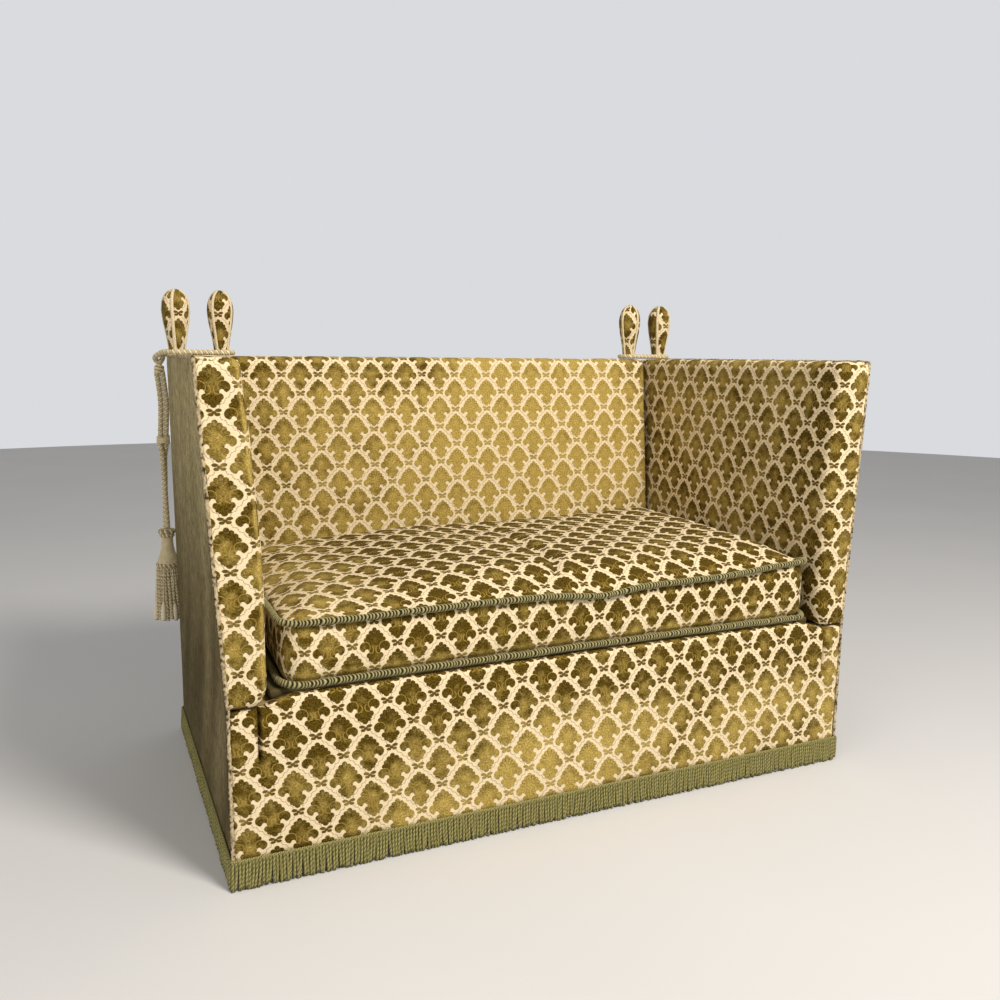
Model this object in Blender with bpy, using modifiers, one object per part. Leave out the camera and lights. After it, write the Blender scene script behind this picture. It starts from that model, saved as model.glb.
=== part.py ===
"""Knole sofa: a two-seat sofa whose padded arms hinge down at the base.

Metres, +Z up, front towards -Y, +X to the viewer's right. The origin is on the floor, under the
middle of the base. The arms stand upright because a cord is tied round the finials of arm and back.
"""

import math

import bmesh
import bpy
from mathutils import Matrix, Vector

# Overall sizes of the upholstered body
BASE_WIDTH = 1.484
BASE_DEPTH = 0.850
HINGE_HEIGHT = 0.350
TOP_HEIGHT = 1.000
FLOOR = 0.0

# Gaps
CLEARANCE = 0.0003
RACK_CLEARANCE = 0.001
HINGE_LINE_GAP = 0.005
OVERRUN = 0.020

# Fringe round the foot of the base
FRINGE_TOP = 0.061
FRINGE_LIFT = 0.002
FRINGE_THICKNESS = 0.006

# Base frame and its covers
COVER_THICKNESS = 0.009
COVER_BOTTOM = 0.045
BORDER_THICKNESS = 0.030
BORDER_TOP = 0.370
BORDER_TUCK = 0.007
BORDER_SHOULDER_RADIUS = 0.014
BORDER_EDGE_RADIUS = 0.007
RAIL_THICKNESS = 0.034
RAIL_BOTTOM = 0.062
RAIL_EDGE_RADIUS = 0.002
LEG_WIDTH = 0.058
LEG_FOOT_WIDTH = 0.046
DUST_COVER_THICKNESS = 0.0025
DUST_COVER_LEG_GAP = 0.003

# Sprung seat
WEBBING_THICKNESS = 0.0015
WEBBING_WIDTH = 0.050
WEBBING_LEVEL = 0.155
WEBBING_COLUMNS = 7
WEBBING_ROWS = 4
SPRING_COLUMNS = 4
SPRING_ROWS = 2
SPRING_PITCH_X = 0.330
SPRING_PITCH_Y = 0.300
SPRING_END_RADIUS = 0.045
SPRING_WAIST_RADIUS = 0.031
SPRING_WIRE_RADIUS = 0.0018
SPRING_TURNS = 3
SPRING_POINTS_PER_TURN = 8
CANVAS_THICKNESS = 0.0015
CANVAS_LEAF_GAP = 0.007
DECK_SIDE_GAP = 0.005
DECK_THICKNESS = 0.0250
DECK_EDGE_RADIUS = 0.006

# Arms
ARM_LEAN_FRONT = 0.036
ARM_LEAN_REAR = 0.004
ARM_FOOT_THICKNESS = 0.077
ARM_MIDDLE_THICKNESS = 0.090
ARM_TOP_THICKNESS = 0.083
ARM_REAR_THICKNESS = 0.080
ARM_INNER_TOP_RADIUS = 0.026
ARM_OUTER_TOP_RADIUS = 0.006
ARM_LOWER_RADIUS = 0.022
ARM_FRONT_RADIUS = 0.022
ARM_REAR_RADIUS = 0.010
ARM_FRONT_WRAP = 0.014
ARM_REAR_WRAP = 0.010
ARM_TOP_WRAP = 0.015
ARM_RAIL_HEIGHT = 0.040
ARM_STILE_WIDTH = 0.050
ARM_STATIONS = 8
ARM_ROWS = 6

# Back
BACK_SIDE_GAP = 0.011
BACK_TOP_THICKNESS = 0.075
BACK_SEAT_THICKNESS = 0.120
BACK_BOTTOM = 0.378
BACK_TUCK = 0.015
BACK_FRONT_TOP_RADIUS = 0.028
BACK_REAR_TOP_RADIUS = 0.006
BACK_SIDE_RADIUS = 0.014
BACK_SIDE_WRAP = 0.010
BACK_TOP_WRAP = 0.015
BACK_RAIL_HEIGHT = 0.035
BACK_POST_WIDTH = 0.040
BACK_BOTTOM_RAIL_LEVEL = 0.385
BACK_BOTTOM_RAIL_HEIGHT = 0.040
BACK_COVER_SIDE_INSET = 0.0105

# Iron hinges between base and arm
KNUCKLE_RADIUS = 0.004
PIN_RADIUS = 0.002
PIN_CLEARANCE = 0.0004
PIN_HEAD_RADIUS = 0.0034
PIN_HEAD_LENGTH = 0.0015
LEAF_THICKNESS = 0.002
LEAF_GAP = 0.001
LEAF_WIDTH = 0.026
HINGE_LENGTH = 0.600
KNUCKLES = 7

# Finials
FINIAL_HEIGHT = 0.164
FINIAL_NECK_RADIUS = 0.0185
FINIAL_BULB_RADIUS = 0.0335
FINIAL_FROM_REAR = 0.032
ARM_FINIAL_INSET = 0.020
BACK_FINIAL_INSET = 0.0374
PEG_RADIUS = 0.004
PEG_LENGTH = 0.025
PEG_CLEARANCE = 0.0005

# Seat cushion
CUSHION_SIDE_GAP = 0.009
CUSHION_FRONT_SETBACK = 0.001
CUSHION_REAR_GAP = 0.002
CUSHION_CORNER_RADIUS = 0.035
CUSHION_LOWER_CORD = 0.3845
CUSHION_UPPER_CORD = 0.505
CUSHION_CROWN = 0.050
CUSHION_CROWN_FROM_FRONT = 0.460
CUSHION_MIDDLE_DIP = 0.010
CUSHION_DIP_HALF_WIDTH = 0.130
CUSHION_DRAW_IN = 0.005
CUSHION_BULGE = 0.004
CUSHION_CORD_RADIUS = 0.0065

# Tie cords, with their tassels behind the arms
TIE_RADIUS = 0.0065
TIE_STRAND_SPACING = 0.0137
TIE_CLEARANCE = 0.0008
TIE_STANDOFF = 0.0022
LOOP_STEP = 0.013
LOOP_END_REACH = 0.0032
STRAND_STEP = 0.030
STRAND_STRAIGHT_END = 0.050
KNOT_RADIUS = 0.0125
KNOT_LEVEL = 0.965
KNOT_OUT = 0.021
KNOT_BEHIND = 0.020
TASSEL_OUT = 0.0185
TASSEL_BEHIND = 0.0435
TASSEL_TOP = 0.548
TASSEL_BOTTOM = 0.291
TASSEL_COLLAR_RADIUS = 0.0210
TASSEL_NECK_RADIUS = 0.0150
TASSEL_RING_RADIUS = 0.0300
TASSEL_SKIRT_RADIUS = 0.0410

# Mesh fineness
ROUND_SIDES = 12
PEG_SIDES = 8
FINIAL_SIDES = 14
TASSEL_SIDES = 16
ARC_STEPS = 4
SMOOTH_ANGLE = math.radians(35)

# Derived planes and faces
FRONT = -BASE_DEPTH / 2
REAR = BASE_DEPTH / 2
SIDE = BASE_WIDTH / 2
BASE_COVER_TOP = HINGE_HEIGHT - HINGE_LINE_GAP
ARM_BOTTOM = HINGE_HEIGHT + HINGE_LINE_GAP
SIDE_WOOD = SIDE - COVER_THICKNESS - CLEARANCE
SIDE_RAIL_INNER = SIDE_WOOD - RAIL_THICKNESS
HINGE_X = SIDE - KNUCKLE_RADIUS
BASE_LEAF_TOP = HINGE_HEIGHT - LEAF_GAP / 2
ARM_LEAF_BOTTOM = HINGE_HEIGHT + LEAF_GAP / 2
RAIL_TOP = BASE_LEAF_TOP - LEAF_THICKNESS - CLEARANCE
FRONT_RAIL_Y = FRONT + BORDER_THICKNESS + CLEARANCE
REAR_WOOD = REAR - COVER_THICKNESS - CLEARANCE
BACK_FRAME_Y = REAR_WOOD - RAIL_THICKNESS
REAR_RAIL_Y = BACK_FRAME_Y - CLEARANCE - RAIL_THICKNESS
CANVAS_BOTTOM = RAIL_TOP + CLEARANCE
DECK_BOTTOM = CANVAS_BOTTOM + CANVAS_THICKNESS + CLEARANCE
DECK_TOP = DECK_BOTTOM + DECK_THICKNESS
BORDER_HALF_WIDTH = SIDE - ARM_FOOT_THICKNESS + BORDER_TUCK
CANVAS_HALF_WIDTH = HINGE_X - LEAF_WIDTH - CANVAS_LEAF_GAP
DECK_HALF_WIDTH = SIDE - ARM_FOOT_THICKNESS - DECK_SIDE_GAP
CUSHION_HALF_WIDTH = SIDE - ARM_FOOT_THICKNESS - CUSHION_SIDE_GAP
BACK_HALF_WIDTH = SIDE - ARM_REAR_THICKNESS - BACK_SIDE_GAP
FINIAL_Y = REAR - FINIAL_FROM_REAR
ARM_FINIAL_X = SIDE - ARM_FINIAL_INSET
BACK_FINIAL_X = BACK_HALF_WIDTH - BACK_FINIAL_INSET
KNOT_X = SIDE + KNOT_OUT
TASSEL_X = SIDE + TASSEL_OUT
MERGE_DISTANCE = CLEARANCE / 10

COLOURS = {
    "oak": ((0.42, 0.29, 0.17), 0.6, 0.0),
    "iron": ((0.16, 0.15, 0.14), 0.5, 1.0),
    "spring_steel": ((0.45, 0.44, 0.42), 0.4, 1.0),
    "webbing": ((0.45, 0.36, 0.22), 0.9, 0.0),
    "hessian": ((0.52, 0.42, 0.27), 0.95, 0.0),
    "cut_velvet": ((0.55, 0.44, 0.20), 0.8, 0.0),
    "plain_cover": ((0.33, 0.29, 0.15), 0.9, 0.0),
    "fringe": ((0.26, 0.23, 0.09), 0.9, 0.0),
    "trim_cord": ((0.37, 0.34, 0.16), 0.85, 0.0),
    "tie_cord": ((0.58, 0.48, 0.28), 0.85, 0.0),
    "black_cloth": ((0.05, 0.05, 0.05), 0.95, 0.0),
}


def clear_scene():
    for obj in list(bpy.data.objects):
        bpy.data.objects.remove(obj, do_unlink=True)


def new_collection(name):
    made = bpy.data.collections.new(name)
    bpy.context.scene.collection.children.link(made)
    return made


def make_materials():
    made = {}
    for name, (colour, roughness, metallic) in COLOURS.items():
        material = bpy.data.materials.new(name)
        material.use_nodes = True
        shader = material.node_tree.nodes["Principled BSDF"]
        shader.inputs["Base Color"].default_value = (*colour, 1.0)
        shader.inputs["Roughness"].default_value = roughness
        shader.inputs["Metallic"].default_value = metallic
        made[name] = material
    return made


def place(obj, material, parent=None):
    """Puts a finished sub-part in the sofa's collection, with its material, on its parent."""
    PARTS.objects.link(obj)
    obj.data.materials.append(MATERIALS[material])
    if parent is not None:
        obj.parent = parent
        obj.matrix_parent_inverse = parent.matrix_basis.inverted()
    return obj


def mesh_object(name, mesh_maker):
    """An object whose mesh is what is left in a bmesh, centred on its own middle."""
    middle = sum((v.co for v in mesh_maker.verts), Vector()) / len(mesh_maker.verts)
    bmesh.ops.translate(mesh_maker, vec=-middle, verts=mesh_maker.verts)
    bmesh.ops.recalc_face_normals(mesh_maker, faces=mesh_maker.faces)
    mesh = bpy.data.meshes.new(name)
    mesh_maker.to_mesh(mesh)
    mesh_maker.free()
    mesh.shade_smooth()
    mesh.set_sharp_from_angle(angle=SMOOTH_ANGLE)
    obj = bpy.data.objects.new(name, mesh)
    obj.location = middle
    return obj


def add_box(maker, low, high):
    """Adds a box between two corners and gives its vertices."""
    low = Vector(low)
    high = Vector(high)
    size = Matrix.Diagonal((high - low).to_4d())
    made = bmesh.ops.create_cube(maker, size=1.0, matrix=Matrix.Translation((low + high) / 2) @ size)
    return made["verts"]


def box(name, low, high, edge=0.0):
    maker = bmesh.new()
    add_box(maker, low, high)
    if edge:
        bmesh.ops.bevel(maker, geom=maker.edges[:], offset=edge, segments=1, affect="EDGES")
    return mesh_object(name, maker)


def cylinder_y(name, side, y_from, y_to, radius):
    """A round bar on the hinge axis of one side."""
    maker = bmesh.new()
    middle = Matrix.Translation((side * HINGE_X, (y_from + y_to) / 2, HINGE_HEIGHT))
    bmesh.ops.create_cone(
        maker, cap_ends=True, segments=ROUND_SIDES, radius1=radius, radius2=radius,
        depth=y_to - y_from, matrix=middle @ Matrix.Rotation(math.pi / 2, 4, "X"),
    )
    return mesh_object(name, maker)


def upright_cylinder(name, x, y, z_from, z_to, radius, sides=ROUND_SIDES):
    maker = bmesh.new()
    bmesh.ops.create_cone(
        maker, cap_ends=True, segments=sides, radius1=radius, radius2=radius,
        depth=z_to - z_from, matrix=Matrix.Translation((x, y, (z_from + z_to) / 2)),
    )
    return mesh_object(name, maker)


def loft(name, rings):
    """A closed skin through rings of equally many points, with a flat cap on each end."""
    maker = bmesh.new()
    loops = [[maker.verts.new(point) for point in ring] for ring in rings]
    count = len(loops[0])
    for one, two in zip(loops, loops[1:]):
        for i in range(count):
            j = (i + 1) % count
            maker.faces.new((one[i], one[j], two[j], two[i]))
    maker.faces.new(loops[0])
    maker.faces.new(loops[-1])
    return mesh_object(name, maker)


def turned(name, profile, centre, sides):
    """A turned shape: a profile of radius and height, swept round Z by a Screw modifier."""
    mesh = bpy.data.meshes.new(name)
    points = [(radius, 0.0, height) for radius, height in profile]
    mesh.from_pydata(points, [(i, i + 1) for i in range(len(points) - 1)], [])
    obj = bpy.data.objects.new(name, mesh)
    obj.location = centre
    screw = obj.modifiers.new("Turn", "SCREW")
    screw.steps = screw.render_steps = sides
    screw.use_merge_vertices = True
    screw.merge_threshold = MERGE_DISTANCE
    screw.use_smooth_shade = True
    return obj


def tube(name, route, radius, cyclic=False, fineness=2):
    """Round cord or wire along a route of points."""
    curve = bpy.data.curves.new(name, "CURVE")
    curve.dimensions = "3D"
    curve.bevel_depth = radius
    curve.bevel_resolution = fineness
    curve.use_fill_caps = not cyclic
    start = Vector(route[0])
    spline = curve.splines.new("POLY")
    spline.points.add(len(route) - 1)
    for point, where in zip(spline.points, route):
        point.co = (*(Vector(where) - start), 1.0)
    spline.use_cyclic_u = cyclic
    obj = bpy.data.objects.new(name, curve)
    obj.location = start
    return obj


def plate(name, outline, y_from, y_to):
    """A flat outline of X and Z points, as thick as the stretch of Y that it fills."""
    curve = bpy.data.curves.new(name, "CURVE")
    curve.dimensions = "2D"
    curve.fill_mode = "BOTH"
    curve.extrude = (y_to - y_from) / 2
    spline = curve.splines.new("POLY")
    spline.points.add(len(outline) - 1)
    for point, (x, z) in zip(spline.points, outline):
        point.co = (x, z, 0.0, 1.0)
    spline.use_cyclic_u = True
    guide = bpy.data.objects.new(name, curve)
    guide.matrix_world = Matrix.Translation((0, (y_from + y_to) / 2, 0)) @ Matrix.Rotation(
        math.pi / 2, 4, "X"
    )
    return mesh_from_curve(guide)


def mesh_from_curve(guide):
    """A mesh object with a curve's shape and name, its caps welded; the curve is removed."""
    name = guide.name
    GUIDES.objects.link(guide)
    bpy.context.view_layer.update()
    evaluated = guide.evaluated_get(bpy.context.evaluated_depsgraph_get())
    mesh = bpy.data.meshes.new_from_object(evaluated)
    maker = bmesh.new()
    maker.from_mesh(mesh)
    bmesh.ops.transform(maker, matrix=guide.matrix_world, verts=maker.verts)
    bmesh.ops.remove_doubles(maker, verts=maker.verts, dist=MERGE_DISTANCE)
    bpy.data.objects.remove(guide)
    bpy.data.meshes.remove(mesh)
    return mesh_object(name, maker)


def hide_as_guide(obj):
    if obj.name not in GUIDES.objects:
        GUIDES.objects.link(obj)
    obj.hide_render = True
    obj.display_type = "WIRE"


def join(obj, piece):
    """Makes a second piece part of a solid."""
    hide_as_guide(piece)
    step = obj.modifiers.new("Join", "BOOLEAN")
    step.operation = "UNION"
    step.solver = "EXACT"
    step.object = piece


def cut(obj, cutter, name):
    """Takes a hidden cutter out of a solid."""
    hide_as_guide(cutter)
    step = obj.modifiers.new(name, "BOOLEAN")
    step.operation = "DIFFERENCE"
    step.solver = "EXACT"
    step.object = cutter


def blend(start, end, share):
    return start + (end - start) * share


def arc(centre, radius, start_degrees, end_degrees, steps=ARC_STEPS):
    """Points on a round corner, in the plane of an outline."""
    points = []
    for i in range(steps + 1):
        angle = math.radians(blend(start_degrees, end_degrees, i / steps))
        points.append((centre[0] + radius * math.cos(angle), centre[1] + radius * math.sin(angle)))
    return points


def least_gap(points, radius, skip):
    """The least gap between one turn of a wound tube and another, left out near each other along it."""
    found = math.inf
    for i, one in enumerate(points):
        for two in points[i + skip:]:
            found = min(found, (Vector(one) - Vector(two)).length - 2 * radius)
    return found


def empty_on_axis(name, where):
    empty = bpy.data.objects.new(name, None)
    empty.location = where
    PARTS.objects.link(empty)
    return empty


def side_name(side):
    return "right" if side > 0 else "left"


def build_base_frame():
    place(box("rail_front", (-SIDE_WOOD, FRONT_RAIL_Y, RAIL_BOTTOM),
              (SIDE_WOOD, FRONT_RAIL_Y + RAIL_THICKNESS, RAIL_TOP), RAIL_EDGE_RADIUS), "oak")
    side_front = FRONT_RAIL_Y + RAIL_THICKNESS + CLEARANCE
    for side in (-1, 1):
        inner, outer = sorted((side * SIDE_RAIL_INNER, side * SIDE_WOOD))
        place(box(f"rail_side_{side_name(side)}", (inner, side_front, RAIL_BOTTOM),
                  (outer, REAR_WOOD, RAIL_TOP), RAIL_EDGE_RADIUS), "oak")
    rear_end = SIDE_RAIL_INNER - CLEARANCE
    place(box("rail_rear", (-rear_end, REAR_RAIL_Y, RAIL_BOTTOM),
              (rear_end, REAR_RAIL_Y + RAIL_THICKNESS, RAIL_TOP), RAIL_EDGE_RADIUS), "oak")
    inner = rear_end - LEG_WIDTH
    for side in (-1, 1):
        for word, y in (("front", side_front), ("rear", REAR_RAIL_Y - CLEARANCE - LEG_WIDTH)):
            place(leg(f"leg_{word}_{side_name(side)}", side * (inner + LEG_WIDTH / 2),
                      y + LEG_WIDTH / 2), "oak")
    half = inner - DUST_COVER_LEG_GAP
    place(box("dust_cover", (-half, FRONT_RAIL_Y, RAIL_BOTTOM - CLEARANCE - DUST_COVER_THICKNESS),
              (half, REAR_RAIL_Y + RAIL_THICKNESS, RAIL_BOTTOM - CLEARANCE)), "black_cloth")


def leg(name, x, y):
    """A square leg in a corner of the frame, tapered below the rails and hidden by the fringe."""
    rings = []
    for z, width in ((FLOOR, LEG_FOOT_WIDTH), (RAIL_BOTTOM, LEG_WIDTH), (RAIL_TOP, LEG_WIDTH)):
        half = width / 2
        rings.append([(x - half, y - half, z), (x + half, y - half, z),
                      (x + half, y + half, z), (x - half, y + half, z)])
    return loft(name, rings)


def seat_well():
    """The open space inside the seat rails, in X and Y."""
    return (SIDE_RAIL_INNER - CLEARANCE, FRONT_RAIL_Y + RAIL_THICKNESS + CLEARANCE,
            REAR_RAIL_Y - CLEARANCE)


def build_sprung_seat():
    half, front, rear = seat_well()
    columns = strip_edges(-half, half, WEBBING_COLUMNS)
    rows = strip_edges(front, rear, WEBBING_ROWS)
    place(webbing("seat_webbing", columns, rows), "webbing")
    build_springs((front + rear) / 2)
    place(box("spring_canvas", (-CANVAS_HALF_WIDTH, FRONT_RAIL_Y + CLEARANCE, CANVAS_BOTTOM),
              (CANVAS_HALF_WIDTH, BACK_FRAME_Y - 2 * CLEARANCE, CANVAS_BOTTOM + CANVAS_THICKNESS)),
          "hessian")
    place(box("seat_deck", (-DECK_HALF_WIDTH, FRONT_RAIL_Y, DECK_BOTTOM),
              (DECK_HALF_WIDTH, BACK_FRAME_Y - CLEARANCE, DECK_TOP), DECK_EDGE_RADIUS),
          "cut_velvet")


def strip_edges(start, end, count):
    """The two edges of each strip, between the ends of the space that they share evenly."""
    edges = []
    for i in range(count):
        middle = blend(start, end, (i + 0.5) / count)
        edges += [middle - WEBBING_WIDTH / 2, middle + WEBBING_WIDTH / 2]
    return [start] + edges + [end]


def webbing(name, columns, rows):
    """Crossed strips, as one sheet with square holes between them."""
    maker = bmesh.new()
    grid = [[maker.verts.new((x, y, WEBBING_LEVEL)) for y in rows] for x in columns]
    for i in range(len(columns) - 1):
        for j in range(len(rows) - 1):
            if i % 2 == 1 or j % 2 == 1:
                maker.faces.new((grid[i][j], grid[i + 1][j], grid[i + 1][j + 1], grid[i][j + 1]))
    loose = [v for v in maker.verts if not v.link_faces]
    bmesh.ops.delete(maker, geom=loose, context="VERTS")
    sheet = mesh_object(name, maker)
    thicken = sheet.modifiers.new("Thickness", "SOLIDIFY")
    thicken.thickness = WEBBING_THICKNESS
    thicken.offset = 0.0
    return sheet


def spring_coil(x, y, low, high):
    """The points of one waisted coil, wound up at a steady pitch."""
    count = SPRING_TURNS * SPRING_POINTS_PER_TURN
    points = []
    for i in range(count + 1):
        share = i / count
        radius = blend(SPRING_WAIST_RADIUS, SPRING_END_RADIUS, (2 * share - 1) ** 2)
        angle = 2 * math.pi * SPRING_TURNS * share
        points.append((x + radius * math.cos(angle), y + radius * math.sin(angle),
                       blend(low, high, share)))
    return points


def build_springs(middle):
    """A spring unit wound from one wire, up one coil and down the next."""
    low = WEBBING_LEVEL + WEBBING_THICKNESS / 2 + SPRING_WIRE_RADIUS + CLEARANCE
    high = CANVAS_BOTTOM - SPRING_WIRE_RADIUS - CLEARANCE
    route = []
    upwards = True
    for j in range(SPRING_ROWS):
        columns = range(SPRING_COLUMNS) if j % 2 == 0 else reversed(range(SPRING_COLUMNS))
        for i in columns:
            x = (i - (SPRING_COLUMNS - 1) / 2) * SPRING_PITCH_X
            y = middle + (j - (SPRING_ROWS - 1) / 2) * SPRING_PITCH_Y
            coil = spring_coil(x, y, low, high)
            route += coil if upwards else coil[::-1]
            upwards = not upwards
    gap = least_gap(route, SPRING_WIRE_RADIUS, SPRING_POINTS_PER_TURN // 2)
    print(f"least gap between the turns of the spring unit: {gap * 1000:.1f} mm")
    place(tube("seat_spring_unit", route, SPRING_WIRE_RADIUS, fineness=0), "spring_steel")


def build_base_covers():
    shoulder = (BORDER_HALF_WIDTH - BORDER_SHOULDER_RADIUS, BORDER_TOP - BORDER_SHOULDER_RADIUS)
    right = [(SIDE, COVER_BOTTOM), (SIDE, BASE_COVER_TOP), (BORDER_HALF_WIDTH, BASE_COVER_TOP)]
    right += arc(shoulder, BORDER_SHOULDER_RADIUS, 0, 90)
    outline = right + [(-x, z) for x, z in reversed(right)]
    border = plate("front_border", outline, FRONT, FRONT + BORDER_THICKNESS)
    soften = border.modifiers.new("Rolled edge", "BEVEL")
    soften.width = BORDER_EDGE_RADIUS
    soften.segments = 2
    soften.limit_method = "ANGLE"
    soften.angle_limit = math.radians(60)
    soften.use_clamp_overlap = True
    place(border, "cut_velvet")
    for side in (-1, 1):
        inner, outer = sorted((side * (SIDE - COVER_THICKNESS), side * SIDE))
        place(box(f"side_cover_{side_name(side)}",
                  (inner, FRONT + BORDER_THICKNESS + CLEARANCE, COVER_BOTTOM),
                  (outer, REAR - COVER_THICKNESS - CLEARANCE, BASE_COVER_TOP)), "plain_cover")
    back_side = BACK_HALF_WIDTH - BACK_COVER_SIDE_INSET
    back_top = TOP_HEIGHT - BACK_TOP_WRAP - CLEARANCE
    half = [(SIDE, COVER_BOTTOM), (SIDE, BASE_COVER_TOP), (back_side, BASE_COVER_TOP),
            (back_side, back_top)]
    outline = half + [(-x, z) for x, z in reversed(half)]
    place(plate("back_outer_cover", outline, REAR - COVER_THICKNESS, REAR), "plain_cover")


def build_fringe():
    inner_x = SIDE + CLEARANCE
    outer_x = inner_x + FRINGE_THICKNESS
    inner_y = REAR + CLEARANCE
    outer_y = inner_y + FRINGE_THICKNESS
    for name, near, far in (("front", -outer_y, -inner_y), ("rear", inner_y, outer_y)):
        place(box(f"fringe_{name}", (-outer_x, near, FRINGE_LIFT), (outer_x, far, FRINGE_TOP)),
              "fringe")
    for side in (-1, 1):
        low, high = sorted((side * inner_x, side * outer_x))
        place(box(f"fringe_{side_name(side)}", (low, -inner_y + CLEARANCE, FRINGE_LIFT),
                  (high, inner_y - CLEARANCE, FRINGE_TOP)), "fringe")


def build_back():
    inner_post = BACK_HALF_WIDTH - BACK_SIDE_WRAP - CLEARANCE - BACK_POST_WIDTH
    outer_post = inner_post + BACK_POST_WIDTH
    rail_top = TOP_HEIGHT - BACK_TOP_WRAP - CLEARANCE
    rail_bottom = rail_top - BACK_RAIL_HEIGHT
    for side in (-1, 1):
        low, high = sorted((side * inner_post, side * outer_post))
        place(box(f"back_post_{side_name(side)}", (low, BACK_FRAME_Y, RAIL_BOTTOM),
                  (high, REAR_WOOD, rail_bottom - CLEARANCE), RAIL_EDGE_RADIUS), "oak")
    peg_holes = [finial_hole(side * BACK_FINIAL_X, f"back_peg_hole_{side_name(side)}")
                 for side in (-1, 1)]
    top_rail = box("back_top_rail", (-outer_post, BACK_FRAME_Y, rail_bottom),
                   (outer_post, REAR_WOOD, rail_top))
    inner = inner_post - CLEARANCE
    place(box("back_bottom_rail", (-inner, BACK_FRAME_Y, BACK_BOTTOM_RAIL_LEVEL),
              (inner, REAR_WOOD, BACK_BOTTOM_RAIL_LEVEL + BACK_BOTTOM_RAIL_HEIGHT),
              RAIL_EDGE_RADIUS), "oak")
    web_y = BACK_FRAME_Y - CLEARANCE
    place(box("back_webbing", (-outer_post, web_y - WEBBING_THICKNESS, BACK_BOTTOM_RAIL_LEVEL),
              (outer_post, web_y, rail_top)), "hessian")
    pad = loft("back_pad", back_rings())
    wall = web_y - WEBBING_THICKNESS - CLEARANCE
    half = BACK_HALF_WIDTH - BACK_SIDE_WRAP
    pocket = box("back_pocket", (-half, wall, BACK_BOTTOM - OVERRUN),
                 (half, REAR + OVERRUN, TOP_HEIGHT - BACK_TOP_WRAP))
    cut(pad, pocket, "Pocket for the frame")
    for side, hole in zip((-1, 1), peg_holes):
        cut(top_rail, hole, "Peg hole")
        cut(pad, hole, "Peg hole")
        place(finial(f"back_finial_{side_name(side)}", side * BACK_FINIAL_X), "cut_velvet")
    place(top_rail, "oak")
    place(pad, "cut_velvet")


def back_front_face(z):
    """How far forward the raked front of the back stands at a height."""
    seat = DECK_TOP + BACK_SEAT_THICKNESS
    if z < seat:
        share = (z - BACK_BOTTOM) / (seat - BACK_BOTTOM)
        return REAR - BACK_SEAT_THICKNESS + BACK_TUCK * (1 - share) ** 2
    share = (z - seat) / (TOP_HEIGHT - seat)
    return REAR - blend(BACK_SEAT_THICKNESS, BACK_TOP_THICKNESS, share)


BACK_FACE_SHARES = (0.92, 0.75, 0.55, 0.38, 0.22, 0.1, 0.0)


def back_section(inset):
    """The back's outline in Y and Z, drawn in by an inset near its rounded ends."""
    top = TOP_HEIGHT - inset / 2
    rear_corner = (REAR - BACK_REAR_TOP_RADIUS, top - BACK_REAR_TOP_RADIUS)
    points = [(REAR, BACK_BOTTOM)]
    points += arc(rear_corner, BACK_REAR_TOP_RADIUS, 0, 90, 2)
    front_y = back_front_face(top) + inset
    front_corner = (front_y + BACK_FRONT_TOP_RADIUS, top - BACK_FRONT_TOP_RADIUS)
    points += arc(front_corner, BACK_FRONT_TOP_RADIUS, 90, 170)
    for share in BACK_FACE_SHARES:
        z = blend(BACK_BOTTOM, top - BACK_FRONT_TOP_RADIUS, share)
        points.append((back_front_face(z) + inset, z))
    return points


def end_steps(radius, steps=ARC_STEPS):
    """Setback and inset pairs that round the end of a pad."""
    pairs = []
    for i in range(steps + 1):
        angle = math.pi / 2 * i / steps
        pairs.append((radius * (1 - math.sin(angle)), radius * (1 - math.cos(angle))))
    return pairs


def back_rings():
    rings = []
    for setback, inset in reversed(end_steps(BACK_SIDE_RADIUS)):
        rings.append((-BACK_HALF_WIDTH + setback, inset))
    rings += [(-x, inset) for x, inset in reversed(rings)]
    return [[(x, y, z) for y, z in back_section(inset)] for x, inset in rings]


def finial_hole(x, name):
    return upright_cylinder(name, x, FINIAL_Y, TOP_HEIGHT - PEG_LENGTH - PEG_CLEARANCE,
                            TOP_HEIGHT + OVERRUN, PEG_RADIUS + PEG_CLEARANCE, PEG_SIDES)


FINIAL_PROFILE_SHARES = ((0.12, 0.05), (0.30, 0.36), (0.50, 0.78), (0.68, 1.0), (0.82, 0.93),
                         (0.92, 0.70), (0.98, 0.36))


def finial(name, x):
    """A padded club on a wooden peg, standing on the corner of the arm or back."""
    points = [(0.0, FINIAL_HEIGHT)]
    for height_share, bulge_share in reversed(FINIAL_PROFILE_SHARES):
        if height_share > FINIAL_PROFILE_SHARES[3][0]:
            radius = FINIAL_BULB_RADIUS * bulge_share
        else:
            radius = blend(FINIAL_NECK_RADIUS, FINIAL_BULB_RADIUS, bulge_share)
        points.append((radius, FINIAL_HEIGHT * height_share))
    points += [(FINIAL_NECK_RADIUS, CLEARANCE), (PEG_RADIUS, CLEARANCE),
               (PEG_RADIUS, -PEG_LENGTH), (0.0, -PEG_LENGTH)]
    return turned(name, points, (x, FINIAL_Y, TOP_HEIGHT), FINIAL_SIDES)


def lean_at(y, z):
    """How far the racked arm stands outwards, from none at the hinge line to most at the front top."""
    share = (y - FRONT) / BASE_DEPTH
    return blend(ARM_LEAN_FRONT, ARM_LEAN_REAR, share) * (z - HINGE_HEIGHT) / (
        TOP_HEIGHT - HINGE_HEIGHT
    )


def leaned(side, x, y, z):
    return (side * (x + lean_at(y, z)), y, z)


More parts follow.
